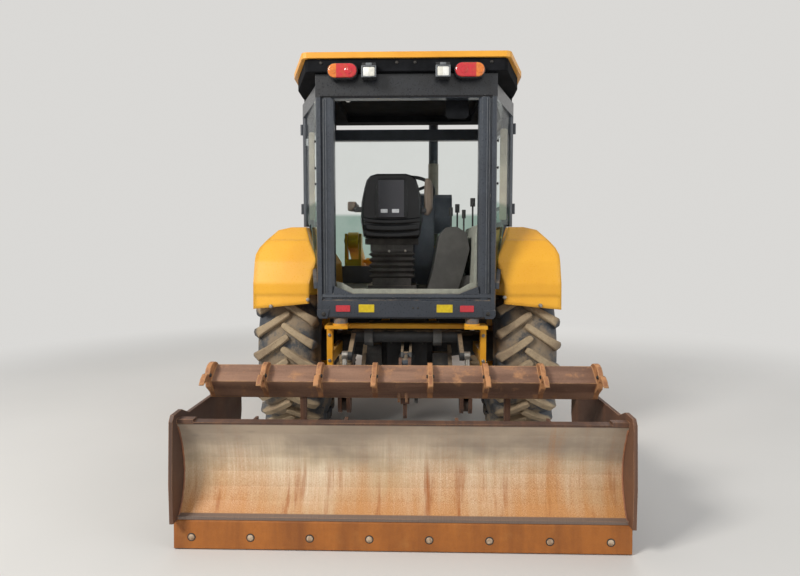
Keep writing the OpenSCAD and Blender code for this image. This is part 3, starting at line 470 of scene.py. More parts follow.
@dataclass(frozen=True)
class BucketWear(Coat):
    """The loader bucket: paint above, scraped and rusting steel below, with scratches front to rear."""

    name: str = "bucket_wear"

    def paint(self, web: Web) -> None:
        """Wears the paint off towards the ground and lays soil over the lowest part.

        Args:
            web: the material's nodes.
        """
        height = web.along("Z")
        patch = web.noise(4.5, 6.0, 0.65, (1.0, 1.0, 1.4))
        scratch = web.noise(1.0, 5.0, 0.7, (55.0, 3.0, 9.0))
        grit = web.noise(130.0, 4.0, 0.7)
        paint = web.mix(patch.ramp(0.4, 0.65), rgb(242, 178, 48), rgb(222, 156, 44))
        steel = web.mix(scratch.ramp(0.35, 0.65), rgb(152, 140, 126), rgb(104, 92, 82))
        rust = web.mix(grit.ramp(0.4, 0.65), rgb(148, 102, 66), rgb(112, 78, 54))
        steel = web.mix(web.noise(7.0, 5.0, 0.6).ramp(0.48, 0.62), steel, rust)
        soil = web.mix(grit.ramp(0.35, 0.7), rgb(158, 132, 104), rgb(128, 104, 82))
        bare = height.mapped(0.08, 0.5, 0.62, 0.1) + patch * 0.9
        colour = web.mix(bare.ramp(0.66, 0.82), paint, steel)
        film = height.mapped(0.0, 0.35, 0.3, 0.0) + web.noise(9.0, 6.0, 0.65)
        colour = web.mix(film.ramp(0.6, 0.85) * 0.75, colour, soil)
        normal, edge = web.edges(0.008)
        colour = web.mix(edge * 0.8, colour, rgb(160, 154, 146))
        web.put(Base_Color=colour, Roughness=bare.mapped(0.66, 0.82, 0.42, 0.6))
        web.bump(grit + scratch, 0.2, 0.003, normal)


@dataclass(frozen=True)
class TyreRubber(Coat):
    """Tyre rubber with dried soil on the tread and in the grooves."""

    name: str
    centre: Point
    half_width: float
    soil_from: float
    soil_full: float

    def paint(self, web: Web) -> None:
        """Lays soil over the rubber, mostly on the tread.

        Args:
            web: the material's nodes.
        """
        cloud = web.noise(6.0, 6.0, 0.62)
        grit = web.noise(60.0, 4.0, 0.7)
        side = abs(web.along("X") - self.centre[0])
        tread = web.radius(self.centre).ramp(self.soil_from, self.soil_full)
        tread *= side.ramp(self.half_width * 1.06, self.half_width * 0.72)
        soil = web.mix(cloud.ramp(0.35, 0.7), rgb(180, 160, 130), rgb(148, 128, 104))
        soil = web.mix(grit.ramp(0.45, 0.7) * 0.4, soil, rgb(128, 108, 88))
        rubber = web.mix(cloud.ramp(0.4, 0.62), rgb(62, 66, 72), rgb(92, 88, 84))
        cover = (cloud + (grit - 0.5) * 0.25 + tread * 0.34).ramp(0.46, 0.68)
        cover *= tread.mapped(0.0, 1.0, 0.72, 1.0)
        web.put(Base_Color=web.mix(cover, rubber, soil), Roughness=cover.mapped(0.0, 1.0, 0.55, 0.92))
        web.bump(grit + cloud, 0.35)


@dataclass(frozen=True)
class Pane(Coat):
    """Tinted cab glass with a film of dust."""

    name: str = "cab_glass"
    tint: Colour = (0.93, 0.965, 0.955)
    low_tint: Colour = (0.36, 0.50, 0.44)
    film: Colour = (0.80, 0.84, 0.82)

    def paint(self, web: Web) -> None:
        """Tints the glass, darker in the doors' lower panes.

        Args:
            web: the material's nodes.
        """
        film = web.noise(3.0, 5.0, 0.6).ramp(0.3, 0.9)
        clear = web.mix(web.along("Z").ramp(1.76, 1.72), self.tint, self.low_tint)
        web.put(Base_Color=web.mix(film * 0.3, clear, self.film), Roughness=film.mapped(0.0, 1.0, 0.0, 0.06),
                Transmission_Weight=1.0, IOR=1.04, Specular_IOR_Level=0.3)


@dataclass(frozen=True)
class Lens(Coat):
    """Ribbed lamp plastic, whose colour changes across the lamp."""

    name: str
    near: Colour
    far: Colour
    split: float = 0.0
    ribs: float = 13.0

    def paint(self, web: Web) -> None:
        """Colours the lens on both sides of its split and ribs it.

        Args:
            web: the material's nodes.
        """
        cloud = web.noise(40.0, 3.0, 0.5)
        side = abs(web.along("X")).ramp(self.split - 0.003, self.split + 0.003)
        colour = web.mix(cloud.ramp(0.4, 0.7) * 0.35, web.mix(side, self.near, self.far),
                         tuple(c * 0.55 for c in self.far))
        web.put(Base_Color=colour, Roughness=cloud.mapped(0.3, 0.7, 0.08, 0.2), Coat_Weight=0.8,
                Coat_Roughness=0.06)
        wave = {"Scale": self.ribs, "Distortion": 0.4, "Vector": web.position()}
        web.bump(web.node("TexWave", "Fac", wave), 0.35, 0.002)


@dataclass(frozen=True)
class FloorPaper(Coat):
    """The studio's pale floor, which fades into the backdrop away from the machine."""

    name: str
    paper: Colour
    fade_start: float
    fade_end: float

    def paint(self, web: Web) -> None:
        """Mixes the lit floor with the backdrop's own colour.

        Args:
            web: the material's nodes.
        """
        web.put(Base_Color=web.mix(web.noise(0.6, 4.0, 0.5), (0.64, 0.63, 0.61), (0.70, 0.69, 0.67)),
                Roughness=0.95, Specular_IOR_Level=0.1)
        far = web.vector("LENGTH", web.position()).ramp(self.fade_start, self.fade_end)
        glow = web.node("Emission", 0, {"Color": self.paper})
        web.show(far * web.seen(), web.shader, glow)


YELLOW = Finish("machine_yellow", rgb(250, 184, 44), rgb(238, 168, 36), rough=0.36, scale=2.2, patch=0.62,
                relief=0.04, dust_low=0.62, dust_high=0.02, dust_top=1.5, settled=0.12, worn=rgb(96, 74, 52),
                wear=0.4, coat=0.25)
FENDER_YELLOW = Finish("fender_yellow", rgb(246, 180, 46), rgb(236, 164, 36), rough=0.34, scale=1.6,
                       patch=0.6, relief=0.03, dust_low=0.3, dust_high=0.02, dust_top=1.5, settled=0.08,
                       coat=0.25, edge=0.035)
LINER = Finish("roof_lining", rgb(34, 35, 38), rgb(24, 25, 27), rough=0.92, rough_spread=0.05, scale=9.0,
               relief=0.1, shine=0.08)
# The near-black band across the header under the roof, from 2.426 m to 2.6 m, is painted shade of the roof's
# overhang on the dark header.
FRAME_GREY = Finish("rear_frame_grey", rgb(60, 66, 75), rgb(48, 53, 61), rough=0.34, scale=4.0, relief=0.05,
                    dust_low=0.5, dust_high=0.04, dust_top=2.2, settled=0.3, worn=rgb(150, 148, 142),
                    wear=0.2, coat=0.25, bands=(Band("Z", 2.426, 2.6, rgb(33, 34, 37)),))
ROOF_YELLOW = Finish("roof_yellow", rgb(248, 178, 60), rgb(232, 160, 46), rough=0.45, scale=2.0, relief=0.05,
                     settled=0.45, coat=0.1)
CAB_GREY = Finish("cab_grey", rgb(66, 71, 79), rgb(52, 57, 64), rough=0.42, scale=4.0, relief=0.06,
                  dust_low=0.5, dust_high=0.06, dust_top=2.6, settled=0.3, worn=rgb(150, 148, 142), wear=0.2,
                  coat=0.15)
HOUSING = Finish("housing_grey", rgb(88, 88, 86), rgb(58, 58, 58), rough=0.6, scale=7.0, relief=0.25,
                 dust_low=0.55, dust_high=0.3, settled=0.35, worn=rgb(120, 92, 66), wear=0.5)
CAST_BLACK = Finish("cast_black", rgb(52, 54, 56), rgb(36, 37, 38), rough=0.55, scale=8.0, relief=0.3,
                    relief_scale=60.0, dust_low=0.5, dust_high=0.25, settled=0.4, worn=rgb(110, 80, 58),
                    wear=0.5)
# The near-black band from 1.602 m up, over the pale lining strip, is painted shade.
CONSOLE = Finish("console_plastic", rgb(80, 79, 76), rgb(64, 63, 61), rough=0.55, scale=5.0, relief=0.2,
                 relief_scale=220.0, settled=0.18,
                 bands=(Band("X", 0.4695, 0.62, rgb(170, 172, 160)),
                        Band("Y", AXLE - 0.668, AXLE - 0.645, rgb(162, 163, 150)),
                        Band("Z", 1.602, 2.0, rgb(22, 23, 25))))
DASH_GREY = Finish("dash_plastic", rgb(78, 86, 96), rgb(60, 67, 76), rough=0.5, scale=5.0, relief=0.2,
                   relief_scale=220.0, bands=(Band("Y", AXLE + 0.3, AXLE + 0.635, rgb(32, 33, 35)),))
MATT_BLACK = Finish("matt_black", rgb(38, 39, 42), rgb(26, 27, 29), rough=0.55, scale=9.0, relief=0.12,
                    dust_low=0.4, dust_high=0.05, dust_top=2.6, settled=0.25)
GLOSS_BLACK = Finish("gloss_black", rgb(34, 35, 38), rgb(22, 23, 25), rough=0.28, scale=6.0, relief=0.05,
                     relief_scale=240.0, coat=0.4)
BELLOWS = Finish("bellows_rubber", rgb(66, 63, 60), rgb(42, 40, 39), rough=0.7, scale=8.0, relief=0.2,
                 settled=0.55)
MOUNTS = Finish("mount_yellow", rgb(246, 180, 48), rgb(226, 156, 36), rough=0.42, scale=3.0, relief=0.08,
                dust_low=0.6, dust_high=0.1, settled=0.3, worn=rgb(88, 68, 50), wear=0.6,
                bands=(Band("Z", 0.9105, 0.96, rgb(96, 100, 104)),))
STACK = Finish("exhaust_steel", rgb(74, 80, 88), rgb(58, 62, 68), rough=0.5, scale=5.0, relief=0.1,
               relief_scale=140.0,
               bands=(Band("Z", 1.0, 2.236, rgb(150, 142, 128)), Band("Z", 2.70, 2.9, rgb(134, 132, 128))))
RUST_BAR = Finish("rusty_bar", rgb(158, 108, 82), rgb(116, 78, 60), rough=0.72, scale=5.0, relief=0.4,
                  relief_scale=160.0, dust=rgb(204, 132, 78), dust_low=0.45, dust_high=0.42, dust_top=1.0,
                  worn=rgb(214, 146, 84), wear=0.9, grain=Grain.ALONG)
RUST_ARM = Finish("rusty_arm", rgb(86, 72, 62), rgb(58, 50, 46), rough=0.7, scale=9.0, relief=0.35,
                  relief_scale=120.0, dust=rgb(150, 104, 74), dust_low=0.3, dust_high=0.3,
                  worn=rgb(150, 100, 66), wear=0.6)
EDGE_RUST = Finish("cutting_edge", rgb(176, 106, 42), rgb(132, 76, 32), rough=0.7, scale=5.0, patch=0.55,
                   relief=0.35, relief_scale=180.0, dust=rgb(196, 136, 72), dust_low=0.4, dust_high=0.4,
                   worn=rgb(110, 78, 56), wear=0.5, grain=Grain.STREAKED)
STEEL = Finish("bright_rod", rgb(205, 206, 208), rgb(176, 178, 182), rough=0.2, metal=1.0, scale=14.0,
               relief=0.02)
ZINC = Finish("zinc_bolt", rgb(176, 172, 164), rgb(134, 128, 120), rough=0.38, metal=0.7, scale=30.0,
              relief=0.1)
DARK_BOLT = Finish("dark_bolt", rgb(54, 50, 46), rgb(40, 38, 36), rough=0.5, scale=30.0, relief=0.15)
PALE_BOLT = Finish("worn_bolt", rgb(206, 186, 160), rgb(150, 118, 90), rough=0.5, scale=60.0, relief=0.4)
CLOTH = Finish("seat_cloth", rgb(24, 25, 28), rgb(15, 16, 18), rough=0.88, scale=12.0, relief=0.5,
               relief_scale=620.0, shine=0.2)
VINYL = Finish("armrest_vinyl", rgb(112, 98, 84), rgb(92, 80, 70), rough=0.5, scale=10.0, relief=0.25,
               relief_scale=300.0)
SEAT_SHELL = Finish("seat_shell", rgb(20, 21, 24), rgb(13, 14, 16), rough=0.24, rough_spread=0.06, scale=7.0,
                    relief=0.04, relief_scale=260.0, dust_top=3.0, settled=0.2, shine=0.3, coat=0.25)
WHITE_TAG = Finish("blank_tag", rgb(228, 230, 232), rgb(206, 208, 212), rough=0.45, scale=40.0, relief=0.05)
YELLOW_PATCH = Finish("blank_patch", rgb(236, 208, 40), rgb(214, 184, 36), rough=0.4, scale=40.0, relief=0.05,
                      settled=0.2)
CREAM = Finish("post_lining", rgb(190, 180, 158), rgb(160, 150, 130), rough=0.6, scale=6.0, relief=0.1,
               dust_top=3.0, dust_low=0.2, dust_high=0.1)
LAMP_GREY = Finish("lamp_frame", rgb(126, 130, 134), rgb(98, 102, 106), rough=0.45, scale=20.0, relief=0.1,
                   settled=0.3)
RED_LENS = Lens("red_lens", rgb(206, 30, 46), rgb(206, 30, 46))
TAIL_LENS = Lens("tail_lens", rgb(204, 34, 48), rgb(232, 128, 44), split=0.455)
LAMP_GLASS = Lens("lamp_glass", rgb(236, 234, 222), rgb(250, 250, 244), split=0.24, ribs=21.0)


WASHER = ((1.25, 0), (1.25, 0.14), (1.1, 0.2))
HEXAGON = ((1.0, 0.2), (1.0, 0.74), (0.84, 0.86), (0.3, 0.86))
STUD = ((0.45, 0.8), (0.45, 1.3), (0.35, 1.4))


def smooth(obj: bpy.types.Object, angle: float = 32.0) -> None:
    """Shades an object smooth but for edges sharper than the angle, in degrees."""
    obj.data.shade_smooth()
    obj.data.set_sharp_from_angle(angle=math.radians(angle))


def round_about(sides: int, start: float = 0.0) -> list[float]:
    """Angles spread evenly round a circle, in radians, the first one start steps on."""
    return [2 * math.pi * (k + start) / sides for k in range(sides)]


def rounded(low: Flat, high: Flat, corner: float, steps: int = 5) -> list[Flat]:
    """The outline of a rectangle with round corners.

    Args:
        low: its lower left corner.
        high: its upper right corner.
        corner: the corners' radius.
        steps: how many steps a corner has.

    Returns:
        The outline's points.
    """
    spots = ((high[0] - corner, high[1] - corner, 0), (low[0] + corner, high[1] - corner, 90),
             (low[0] + corner, low[1] + corner, 180), (high[0] - corner, low[1] + corner, 270))
    turns = [(u, v, math.radians(start + 90 * k / steps)) for u, v, start in spots for k in range(steps + 1)]
    return [(u + corner * math.cos(turn), v + corner * math.sin(turn)) for u, v, turn in turns]


class Shape:
    """A mesh being drawn, in millimetres, with y measured from the rear axle."""

    def __init__(self) -> None:
        """Starts with nothing drawn."""
        self.points: list[Point] = []
        self.faces: list[tuple[int, ...]] = []

    def skin(self, rings: Sequence[Sequence[Point]], ends: bool = True) -> "Shape":
        """Skins closed outlines that have the same number of points.

        Args:
            rings: the outlines, one after another.
            ends: whether the first and the last are filled, or else joined to each other.

        Returns:
            The shape itself.
        """
        count, first = len(rings[0]), len(self.points)
        for ring in rings:
            self.points.extend(tuple(p) for p in ring)
        whole = len(rings) * count
        for i in range(len(rings) - (1 if ends else 0)):
            for k in range(count):
                a, b = i * count + k, i * count + (k + 1) % count
                corners = (a, b, (b + count) % whole, (a + count) % whole)
                self.faces.append(tuple(first + v for v in corners))
        if ends:
            last = first + whole - count
            self.faces += [tuple(range(first + count - 1, first - 1, -1)), tuple(range(last, last + count))]
        return self

    def prism(self, outline: Sequence[Flat], across: Across, low: float, high: float) -> "Shape":
        """Draws a flat outline out between two places on an axis."""
        cut = across.value
        return self.skin([[(*p[:cut], v, *p[cut:]) for p in outline] for v in (low, high)])

    def plate(self, low: Flat, high: Flat, corner: float, across: Across, near: float, far: float,
              steps: int = 5) -> "Shape":
        """Draws a rectangle with round corners out between two places on an axis."""
        return self.prism(rounded(low, high, corner, steps), across, near, far)

    def turned(self, profile: Sequence[Flat], place: Point, facing: Facing, sides: int = 32,
               size: float = 1.0) -> "Shape":
        """Turns a profile about an axis.

        Args:
            profile: pairs of radius and height above place.
            place: the point where the axis starts.
            facing: the way that the axis runs.
            sides: how many flats go round it.
            size: what the profile is multiplied by.

        Returns:
            The shape itself.
        """
        out, u, v = (Vector(d) for d in facing.value)
        start, turns = Vector(place), round_about(sides, 0.5)
        return self.skin([[start + out * (h * size) + (u * math.cos(a) + v * math.sin(a)) * (r * size)
                           for a in turns] for r, h in profile])

    def bolt(self, place: Point, facing: Facing, size: float) -> "Shape":
        """A hexagon head on its washer."""
        return self.turned(WASHER, place, facing, 28, size).turned(HEXAGON, place, facing, 6, size)

    def tube(self, path: Sequence[Point], radius: float, sides: int) -> "Shape":
        """Sweeps a round bar along a path.

        Args:
            path: the points that it goes through.
            radius: half its thickness.
            sides: how many flats go round it.

        Returns:
            The shape itself.
        """
        spots = [Vector(p) for p in path]
        side, rings = Vector((0.3, 0.2, 1.0)), []
        for k, spot in enumerate(spots):
            run = (spots[min(k + 1, len(spots) - 1)] - spots[max(k - 1, 0)]).normalized()
            side = (side - run * side.dot(run)).normalized()
            over = run.cross(side)
            rings.append([spot + (side * math.cos(a) + over * math.sin(a)) * radius
                          for a in round_about(sides)])
        return self.skin(rings)


def piece(name: str, shape: Shape, coat: Coat, body: str = "chassis", bevel: float = 0.0,
          segments: int = 2, angle: float = 32.0) -> bpy.types.Object:
    """Makes a scene piece, paints it and lets it ride on its body.

    Args:
        name: the piece's name.
        shape: its mesh.
        coat: its finish.
        body: the body that it moves with.
        bevel: how far its edges are rounded, in millimetres.
        segments: how many steps a rounded edge has.
        angle: edges sharper than this stay sharp, in degrees.

    Returns:
        The new object.
    """
    mesh = bpy.data.meshes.new(name)
    mesh.from_pydata([at(*p) for p in shape.points], [], shape.faces)
    work = bmesh.new()
    work.from_mesh(mesh)
    bmesh.ops.recalc_face_normals(work, faces=work.faces)
    work.to_mesh(mesh)
    work.free()
    obj = bpy.data.objects.new(name, mesh)
    bpy.context.scene.collection.objects.link(obj)
    smooth(obj, angle)
    if bevel:
        edges = obj.modifiers.new("edges", "BEVEL")
        edges.width = bevel / 1000
        edges.segments = segments
        edges.limit_method = "ANGLE"
        edges.angle_limit = math.radians(40)
    mesh.materials.append(coat.make())
    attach(obj, body)
    log.info("built %s", name)
    return obj


@dataclass(frozen=True)
class Padding:
    """How a pad is filled and sewn, in metres."""

    fill: float
    reach: float
    channels: tuple[tuple[int, float], ...] = ()
    voxel: float = 0.006
    pressure: float = 4.0
    frames: int = 20
    stitch_depth: float = 0.006
    stitch_width: float = 0.007

    def stuff(self, obj: bpy.types.Object) -> bpy.types.Object:
        """Swells the pad by a short cloth simulation, then sews its channels.

        Args:
            obj: the pad's plain form, a little smaller than the pad.

        Returns:
            The same object.
        """
        grid = obj.modifiers.new("grid", "REMESH")
        grid.mode = "VOXEL"
        grid.voxel_size = self.voxel
        self.settle(obj)
        self.swell(obj)
        for point in obj.data.vertices:
            for axis, place in self.channels:
                off = (point.co[axis] - place) / self.stitch_width
                point.co -= point.normal * self.stitch_depth * math.exp(-off * off)
        obj.data.shade_smooth()
        finer = obj.modifiers.new("round", "SUBSURF")
        finer.levels = finer.render_levels = 1
        return obj

    def swell(self, obj: bpy.types.Object) -> None:
        """Blows the cloth up, by no more than its reach.

        Args:
            obj: the pad.
        """
        rest = [v.co.copy() for v in obj.data.vertices]
        cloth = obj.modifiers.new("fill", "CLOTH")
        cloth.settings.use_pressure = True
        cloth.settings.uniform_pressure_force = self.pressure
        cloth.settings.effector_weights.gravity = 0.0
        for step in range(1, self.frames + 1):
            bpy.context.scene.frame_set(step)
        self.settle(obj)
        bpy.context.scene.frame_set(1)
        for point, start in zip(obj.data.vertices, rest):
            move = point.co - start
            if move.length > self.reach:
                point.co = start + move * (self.reach / move.length)

    def settle(self, obj: bpy.types.Object) -> None:
        """Turns the object's modifiers into its mesh.

        Args:
            obj: the object.
        """
        shaped = bpy.data.meshes.new_from_object(obj.evaluated_get(bpy.context.evaluated_depsgraph_get()))
        obj.modifiers.clear()
        obj.data = shaped


@dataclass(frozen=True)
class Lamp:
    """A soft studio lamp: its place and size in metres, and whether mirrors and glass show it."""

    name: str
    place: Point
    power: float
    size: float
    colour: Colour
    mirrored: bool


@dataclass
class Studio:
    """The floor, the backdrop, the lamps and the camera, with the camera's place in millimetres."""

    camera_back: float = 4800.0
    camera_right: float = 74.0
    camera_height: float = 1420.0
    lens: float = 27.0
    sensor: float = 36.0
    yaw: float = 1.62
    pitch: float = 3.72
    paper: Colour = (0.70, 0.69, 0.67)
    sky: Colour = (0.97, 0.985, 1.0)
    sky_level: float = 0.40
    floor_size: float = 60.0
    fade_start: float = 3.4
    fade_end: float = 6.6
    aim: Point = (0.0, 0.0, 1.1)
    lamps: tuple[Lamp, ...] = (Lamp("key", (-5.0, -7.0, 6.0), 560.0, 2.2, (1.0, 0.97, 0.92), True),
                               Lamp("fill", (6.0, -5.5, 3.0), 110.0, 4.5, (0.94, 0.97, 1.0), True),
                               Lamp("front", (3.5, 7.5, 4.5), 300.0, 4.5, (1.0, 0.98, 0.96), False),
                               Lamp("top", (0.0, -0.5, 8.0), 100.0, 6.0, (1.0, 1.0, 1.0), False))

    def build(self) -> None:
        """Makes the camera, the lamps, the sky and the floor."""
        self.place_camera()
        for lamp in self.lamps:
            self.hang(lamp)
        self.paint_sky()
        self.lay_floor()

    def place_camera(self) -> None:
        """Stands the camera behind the machine, where the photographer stood."""
        data = bpy.data.cameras.new("camera")
        cam = bpy.data.objects.new("camera", data)
        bpy.context.scene.collection.objects.link(cam)
        cam.location = at(self.camera_right, -self.camera_back, self.camera_height)
        cam.rotation_euler = (math.radians(90 - self.pitch), 0.0, math.radians(self.yaw))
        data.lens = self.lens
        data.sensor_width = self.sensor
        bpy.context.scene.camera = cam

    def hang(self, lamp: Lamp) -> None:
        """Hangs one lamp, turned to the machine.

        Args:
            lamp: its place, size and light.
        """
        data = bpy.data.lights.new(lamp.name, "AREA")
        data.energy = lamp.power
        data.size = lamp.size
        data.color = lamp.colour
        obj = bpy.data.objects.new(lamp.name, data)
        bpy.context.scene.collection.objects.link(obj)
        obj.visible_glossy = lamp.mirrored
        obj.visible_transmission = lamp.mirrored
        obj.location = lamp.place
        obj.rotation_euler = (Vector(self.aim) - Vector(lamp.place)).to_track_quat("-Z", "Y").to_euler()

    def paint_sky(self) -> None:
        """Lights the object from all round and shows the paper behind it."""
        scene = bpy.context.scene
        scene.view_settings.view_transform = "Standard"
        scene.world = bpy.data.worlds.new("sky")
        scene.world.use_nodes = True
        web = Web(scene.world.node_tree)
        web.put(Color=self.sky, Strength=self.sky_level)
        web.show(web.seen(), web.shader, web.node("Background", 0, {"Color": self.paper}))

    def lay_floor(self) -> None:
        """Lays the floor round the machine."""
        mesh = bpy.data.meshes.new("studio_floor")
        s = self.floor_size
        mesh.from_pydata([(-s, -s, 0), (s, -s, 0), (s, s, 0), (-s, s, 0)], [], [(0, 1, 2, 3)])
        mesh.materials.append(FloorPaper("studio_floor", self.paper, self.fade_start, self.fade_end).make())
        obj = bpy.data.objects.new("studio_floor", mesh)
        bpy.context.scene.collection.objects.link(obj)


@dataclass
class PaintShop:
    """Gives every CAD node its finish."""

    by_slot: dict[str, Coat] = field(default_factory=lambda: {
        "yellow": YELLOW, "plastic_yellow": ROOF_YELLOW, "dark": CAB_GREY, "black": MATT_BLACK,
        "grey": HOUSING, "iron": CAST_BLACK, "rust": RUST_BAR, "steel": STEEL, "seat_cloth": CLOTH,
        "rubber": MATT_BLACK, "glass": Pane(),
    })
    by_node: dict[str, Coat] = field(default_factory=lambda: {
        "grille": GLOSS_BLACK, "seat_base": BELLOWS, "consoles": CONSOLE, "dash": DASH_GREY,
        "exhaust": STACK, "cab_mounts": MOUNTS, "rockshaft": CAST_BLACK, "lower_links": RUST_ARM,
        "lift_links": ZINC, "box_shell": WornBlade(), "box_edge": EDGE_RUST, "bucket": BucketWear(),
        "rear_lamps": GLOSS_BLACK, "ripper_bar": RipperRust(), "fenders": FENDER_YELLOW,
        "roof_liner": LINER, "cab_rear": FRAME_GREY,
    })

    def build(self) -> None:
        """Paints the nodes one by one."""
        slots = {s["node"]: s["material_slot"] for s in frame["record"]["subparts"]}
        for name, obj in frame["nodes"].items():
            obj.data.materials.clear()
            obj.data.materials.append(self.by_node.get(name, self.by_slot[slots[name]]).make())
            log.info("painted %s", name)


@dataclass(frozen=True)
class Stop:
    """One place along a lug: across the tread, round it, half the lug's width, and how low it lies."""

    across: float
    round: float
    half: float
    drop: float


@dataclass(frozen=True)
class Axle:
    """What the two wheels of an axle share: the tyre's wall and lugs, and the nuts and cap of the rim."""

    name: str
    lugs: int
    nuts: int
    nut_size: float
    nut_ring: float
    nut_face: float
    cap: float
    cap_face: float
    wall: tuple[Flat, ...]
    path: tuple[Stop, ...]


@dataclass
class Wheel:
    """One wheel: a turned carcass with two rows of lugs that meet at its middle, and the hub's parts."""

    axle: Axle
    side: str
    sign: int
    turns: int = 96
    foot_sunk: float = 9.0
    slope: float = 5.0
    chamfer: float = 6.0
    tucked: float = 12.0
    tucked_stops: int = 3
    centre: Point = field(init=False)
    crown: float = field(init=False)
    half: float = field(init=False)

    def __post_init__(self) -> None:
        """Takes the tyre's place and size from its CAD node."""
        low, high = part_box(self.named("tyre"))
        self.centre = tuple((a + b) / 2 for a, b in zip(low, high))
        self.crown = (high[2] - low[2]) * 500
        self.half = (high[0] - low[0]) / 2

    def named(self, part: str) -> str:
        """The name of one of the wheel's parts."""
        return f"{part}_{self.axle.name}_{self.side}"

    def tread(self) -> None:
        """Makes the tyre in place of its CAD node."""
        shape = Shape()
        profile = [(-u, v) for u, v in reversed(self.axle.wall)] + list(self.axle.wall)
        shape.skin([[self.place(u, v, turn) for u, v in profile] for turn in round_about(self.turns)],
                   ends=False)
        for i in range(self.axle.lugs):
            for way in (-1, 1):
                shape.skin(self.lug(way, 2 * math.pi * (i + way * 0.25) / self.axle.lugs))
        crown = self.crown / 1000
        coat = TyreRubber(self.named("rubber"), self.centre, self.half, crown - 0.055, crown - 0.012)
        tyre = piece(self.named("tread"), shape, coat, self.body(), angle=38)
        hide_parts(self.named("tyre"))

    def body(self) -> str:
        """The body that turns with the wheel."""
        return f"{self.axle.name}_wheel_{self.side}"

    def place(self, across: float, radius: float, turn: float) -> Point:
        """A point of the tyre, in millimetres.

        Args:
            across: how far it is to the right of the wheel's middle.
            radius: how far it is from the axle.
            turn: its angle from the top towards the rear.

        Returns:
            The point.
        """
        x, y, z = self.centre
        return (x * 1000 + across, (y - AXLE) * 1000 - radius * math.sin(turn),
                z * 1000 + radius * math.cos(turn))

    def foot(self, across: float) -> float:
        """The carcass's radius at one place.

        Args:
            across: how far the place is from the tread's middle.

        Returns:
            The radius, in millimetres.
        """
        wall = self.axle.wall
        for (u, r), (u1, r1) in zip(wall, wall[1:]):
            if u <= across <= u1:
                return r + (r1 - r) * (across - u) / max(u1 - u, 0.01)
        return wall[0][1]

    def lug(self, way: int, turn: float) -> list[list[Point]]:
        """The outlines along one lug.

        Args:
            way: -1 for the left row and 1 for the right one.
            turn: the lug's angle round the tyre.

        Returns:
            The outlines, from the middle of the tread to the shoulder.
        """
        rings, path, limit = [], self.axle.path, self.half * 1000 - 1
        for k, stop in enumerate(path):
            a, b = path[max(k - 1, 0)], path[min(k + 1, len(path) - 1)]
            run = Vector((b.across - a.across, b.round - a.round)).normalized()
            base = self.foot(min(abs(stop.across), self.axle.wall[5][0])) - self.foot_sunk
            top = self.crown - stop.drop
            section = ((stop.half + self.slope, base), (stop.half, top - self.chamfer),
                       (stop.half - self.chamfer, top))
            ring = []
            for off, height in [(-u, h) for u, h in section] + list(reversed(section)):
                inward = self.tucked if height == base and k >= len(path) - self.tucked_stops else 0
                across = min(stop.across - inward - run.y * off, limit - (3 if height == top else 0))
                ring.append(self.place(way * across, height, turn + (stop.round + run.x * off) / self.crown))
            rings.append(ring)
        return rings

    def hub(self) -> None:
        """Puts nuts on their studs, and a dust cap, on the rim."""
        axle, facing = self.axle, Facing.out(self.sign)
        low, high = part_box(self.named("rim"))
        x, y, z = ((a + b) * 500 for a, b in zip(low, high))
        y -= AXLE * 1000
        nuts = Shape()
        for turn in round_about(axle.nuts):
            place = (x + self.sign * axle.nut_face, y + axle.nut_ring * math.cos(turn),
                     z + axle.nut_ring * math.sin(turn))
            nuts.bolt(place, facing, axle.nut_size).turned(STUD, place, facing, 16, axle.nut_size)
        piece(self.named("nuts"), nuts, ZINC, self.body(), bevel=0.8)
        cap = axle.cap
        profile = ((cap, 0), (cap, 5), (cap - 4, 8), (cap * 0.72, 10), (cap * 0.66, 26), (cap * 0.58, 32),
                   (cap * 0.2, 34))
        dome = Shape().turned(profile, (x + self.sign * axle.cap_face, y, z), facing, 48)
        piece(self.named("cap"), dome, YELLOW, self.body())


@dataclass
class Wheels:
    """The four wheels, in millimetres."""

    rear: Axle = Axle(
        "rear", lugs=24, nuts=8, nut_size=13.0, nut_ring=130.0, nut_face=60.2, cap=76.0, cap_face=60.2,
        wall=((0, 627), (60, 626), (110, 622), (150, 612), (182, 594), (204, 566), (216, 532), (222, 490),
              (222, 462), (226, 456), (226, 446), (221, 440), (214, 402), (199, 362), (184, 338), (176, 330),
              (176, 318), (170, 312.9)),
        path=(Stop(-22, -102, 11, 3), Stop(-16, -98, 19, 0), Stop(2, -86, 23, 0), Stop(40, -58, 24, 0),
              Stop(85, -26, 24, 1), Stop(130, 4, 26, 3), Stop(170, 28, 29, 8), Stop(200, 46, 33, 18),
              Stop(217, 60, 36, 36), Stop(223, 74, 37, 66)))
    front: Axle = Axle(
        "front", lugs=30, nuts=6, nut_size=10.0, nut_ring=72.0, nut_face=59.6, cap=50.0, cap_face=60.2,
        wall=((0, 403), (45, 402), (80, 398), (104, 388), (120, 370), (130, 345), (135, 318), (136, 296),
              (132, 268), (122, 240), (112, 226), (104, 216), (98, 210)),
        path=(Stop(6, -26, 9, 2), Stop(12, -24, 15, 0), Stop(40, -12, 17, 0), Stop(72, 2, 18, 2),
              Stop(98, 12, 20, 8), Stop(118, 20, 22, 20), Stop(129, 26, 22, 42)))

    def build(self) -> None:
        """Makes the tyres and the small parts on the wheels."""
        for side, sign in SIDES:
            pair = [Wheel(axle, side, sign) for axle in (self.rear, self.front)]
            for wheel in pair:
                wheel.tread()
            for wheel in pair:
                wheel.hub()


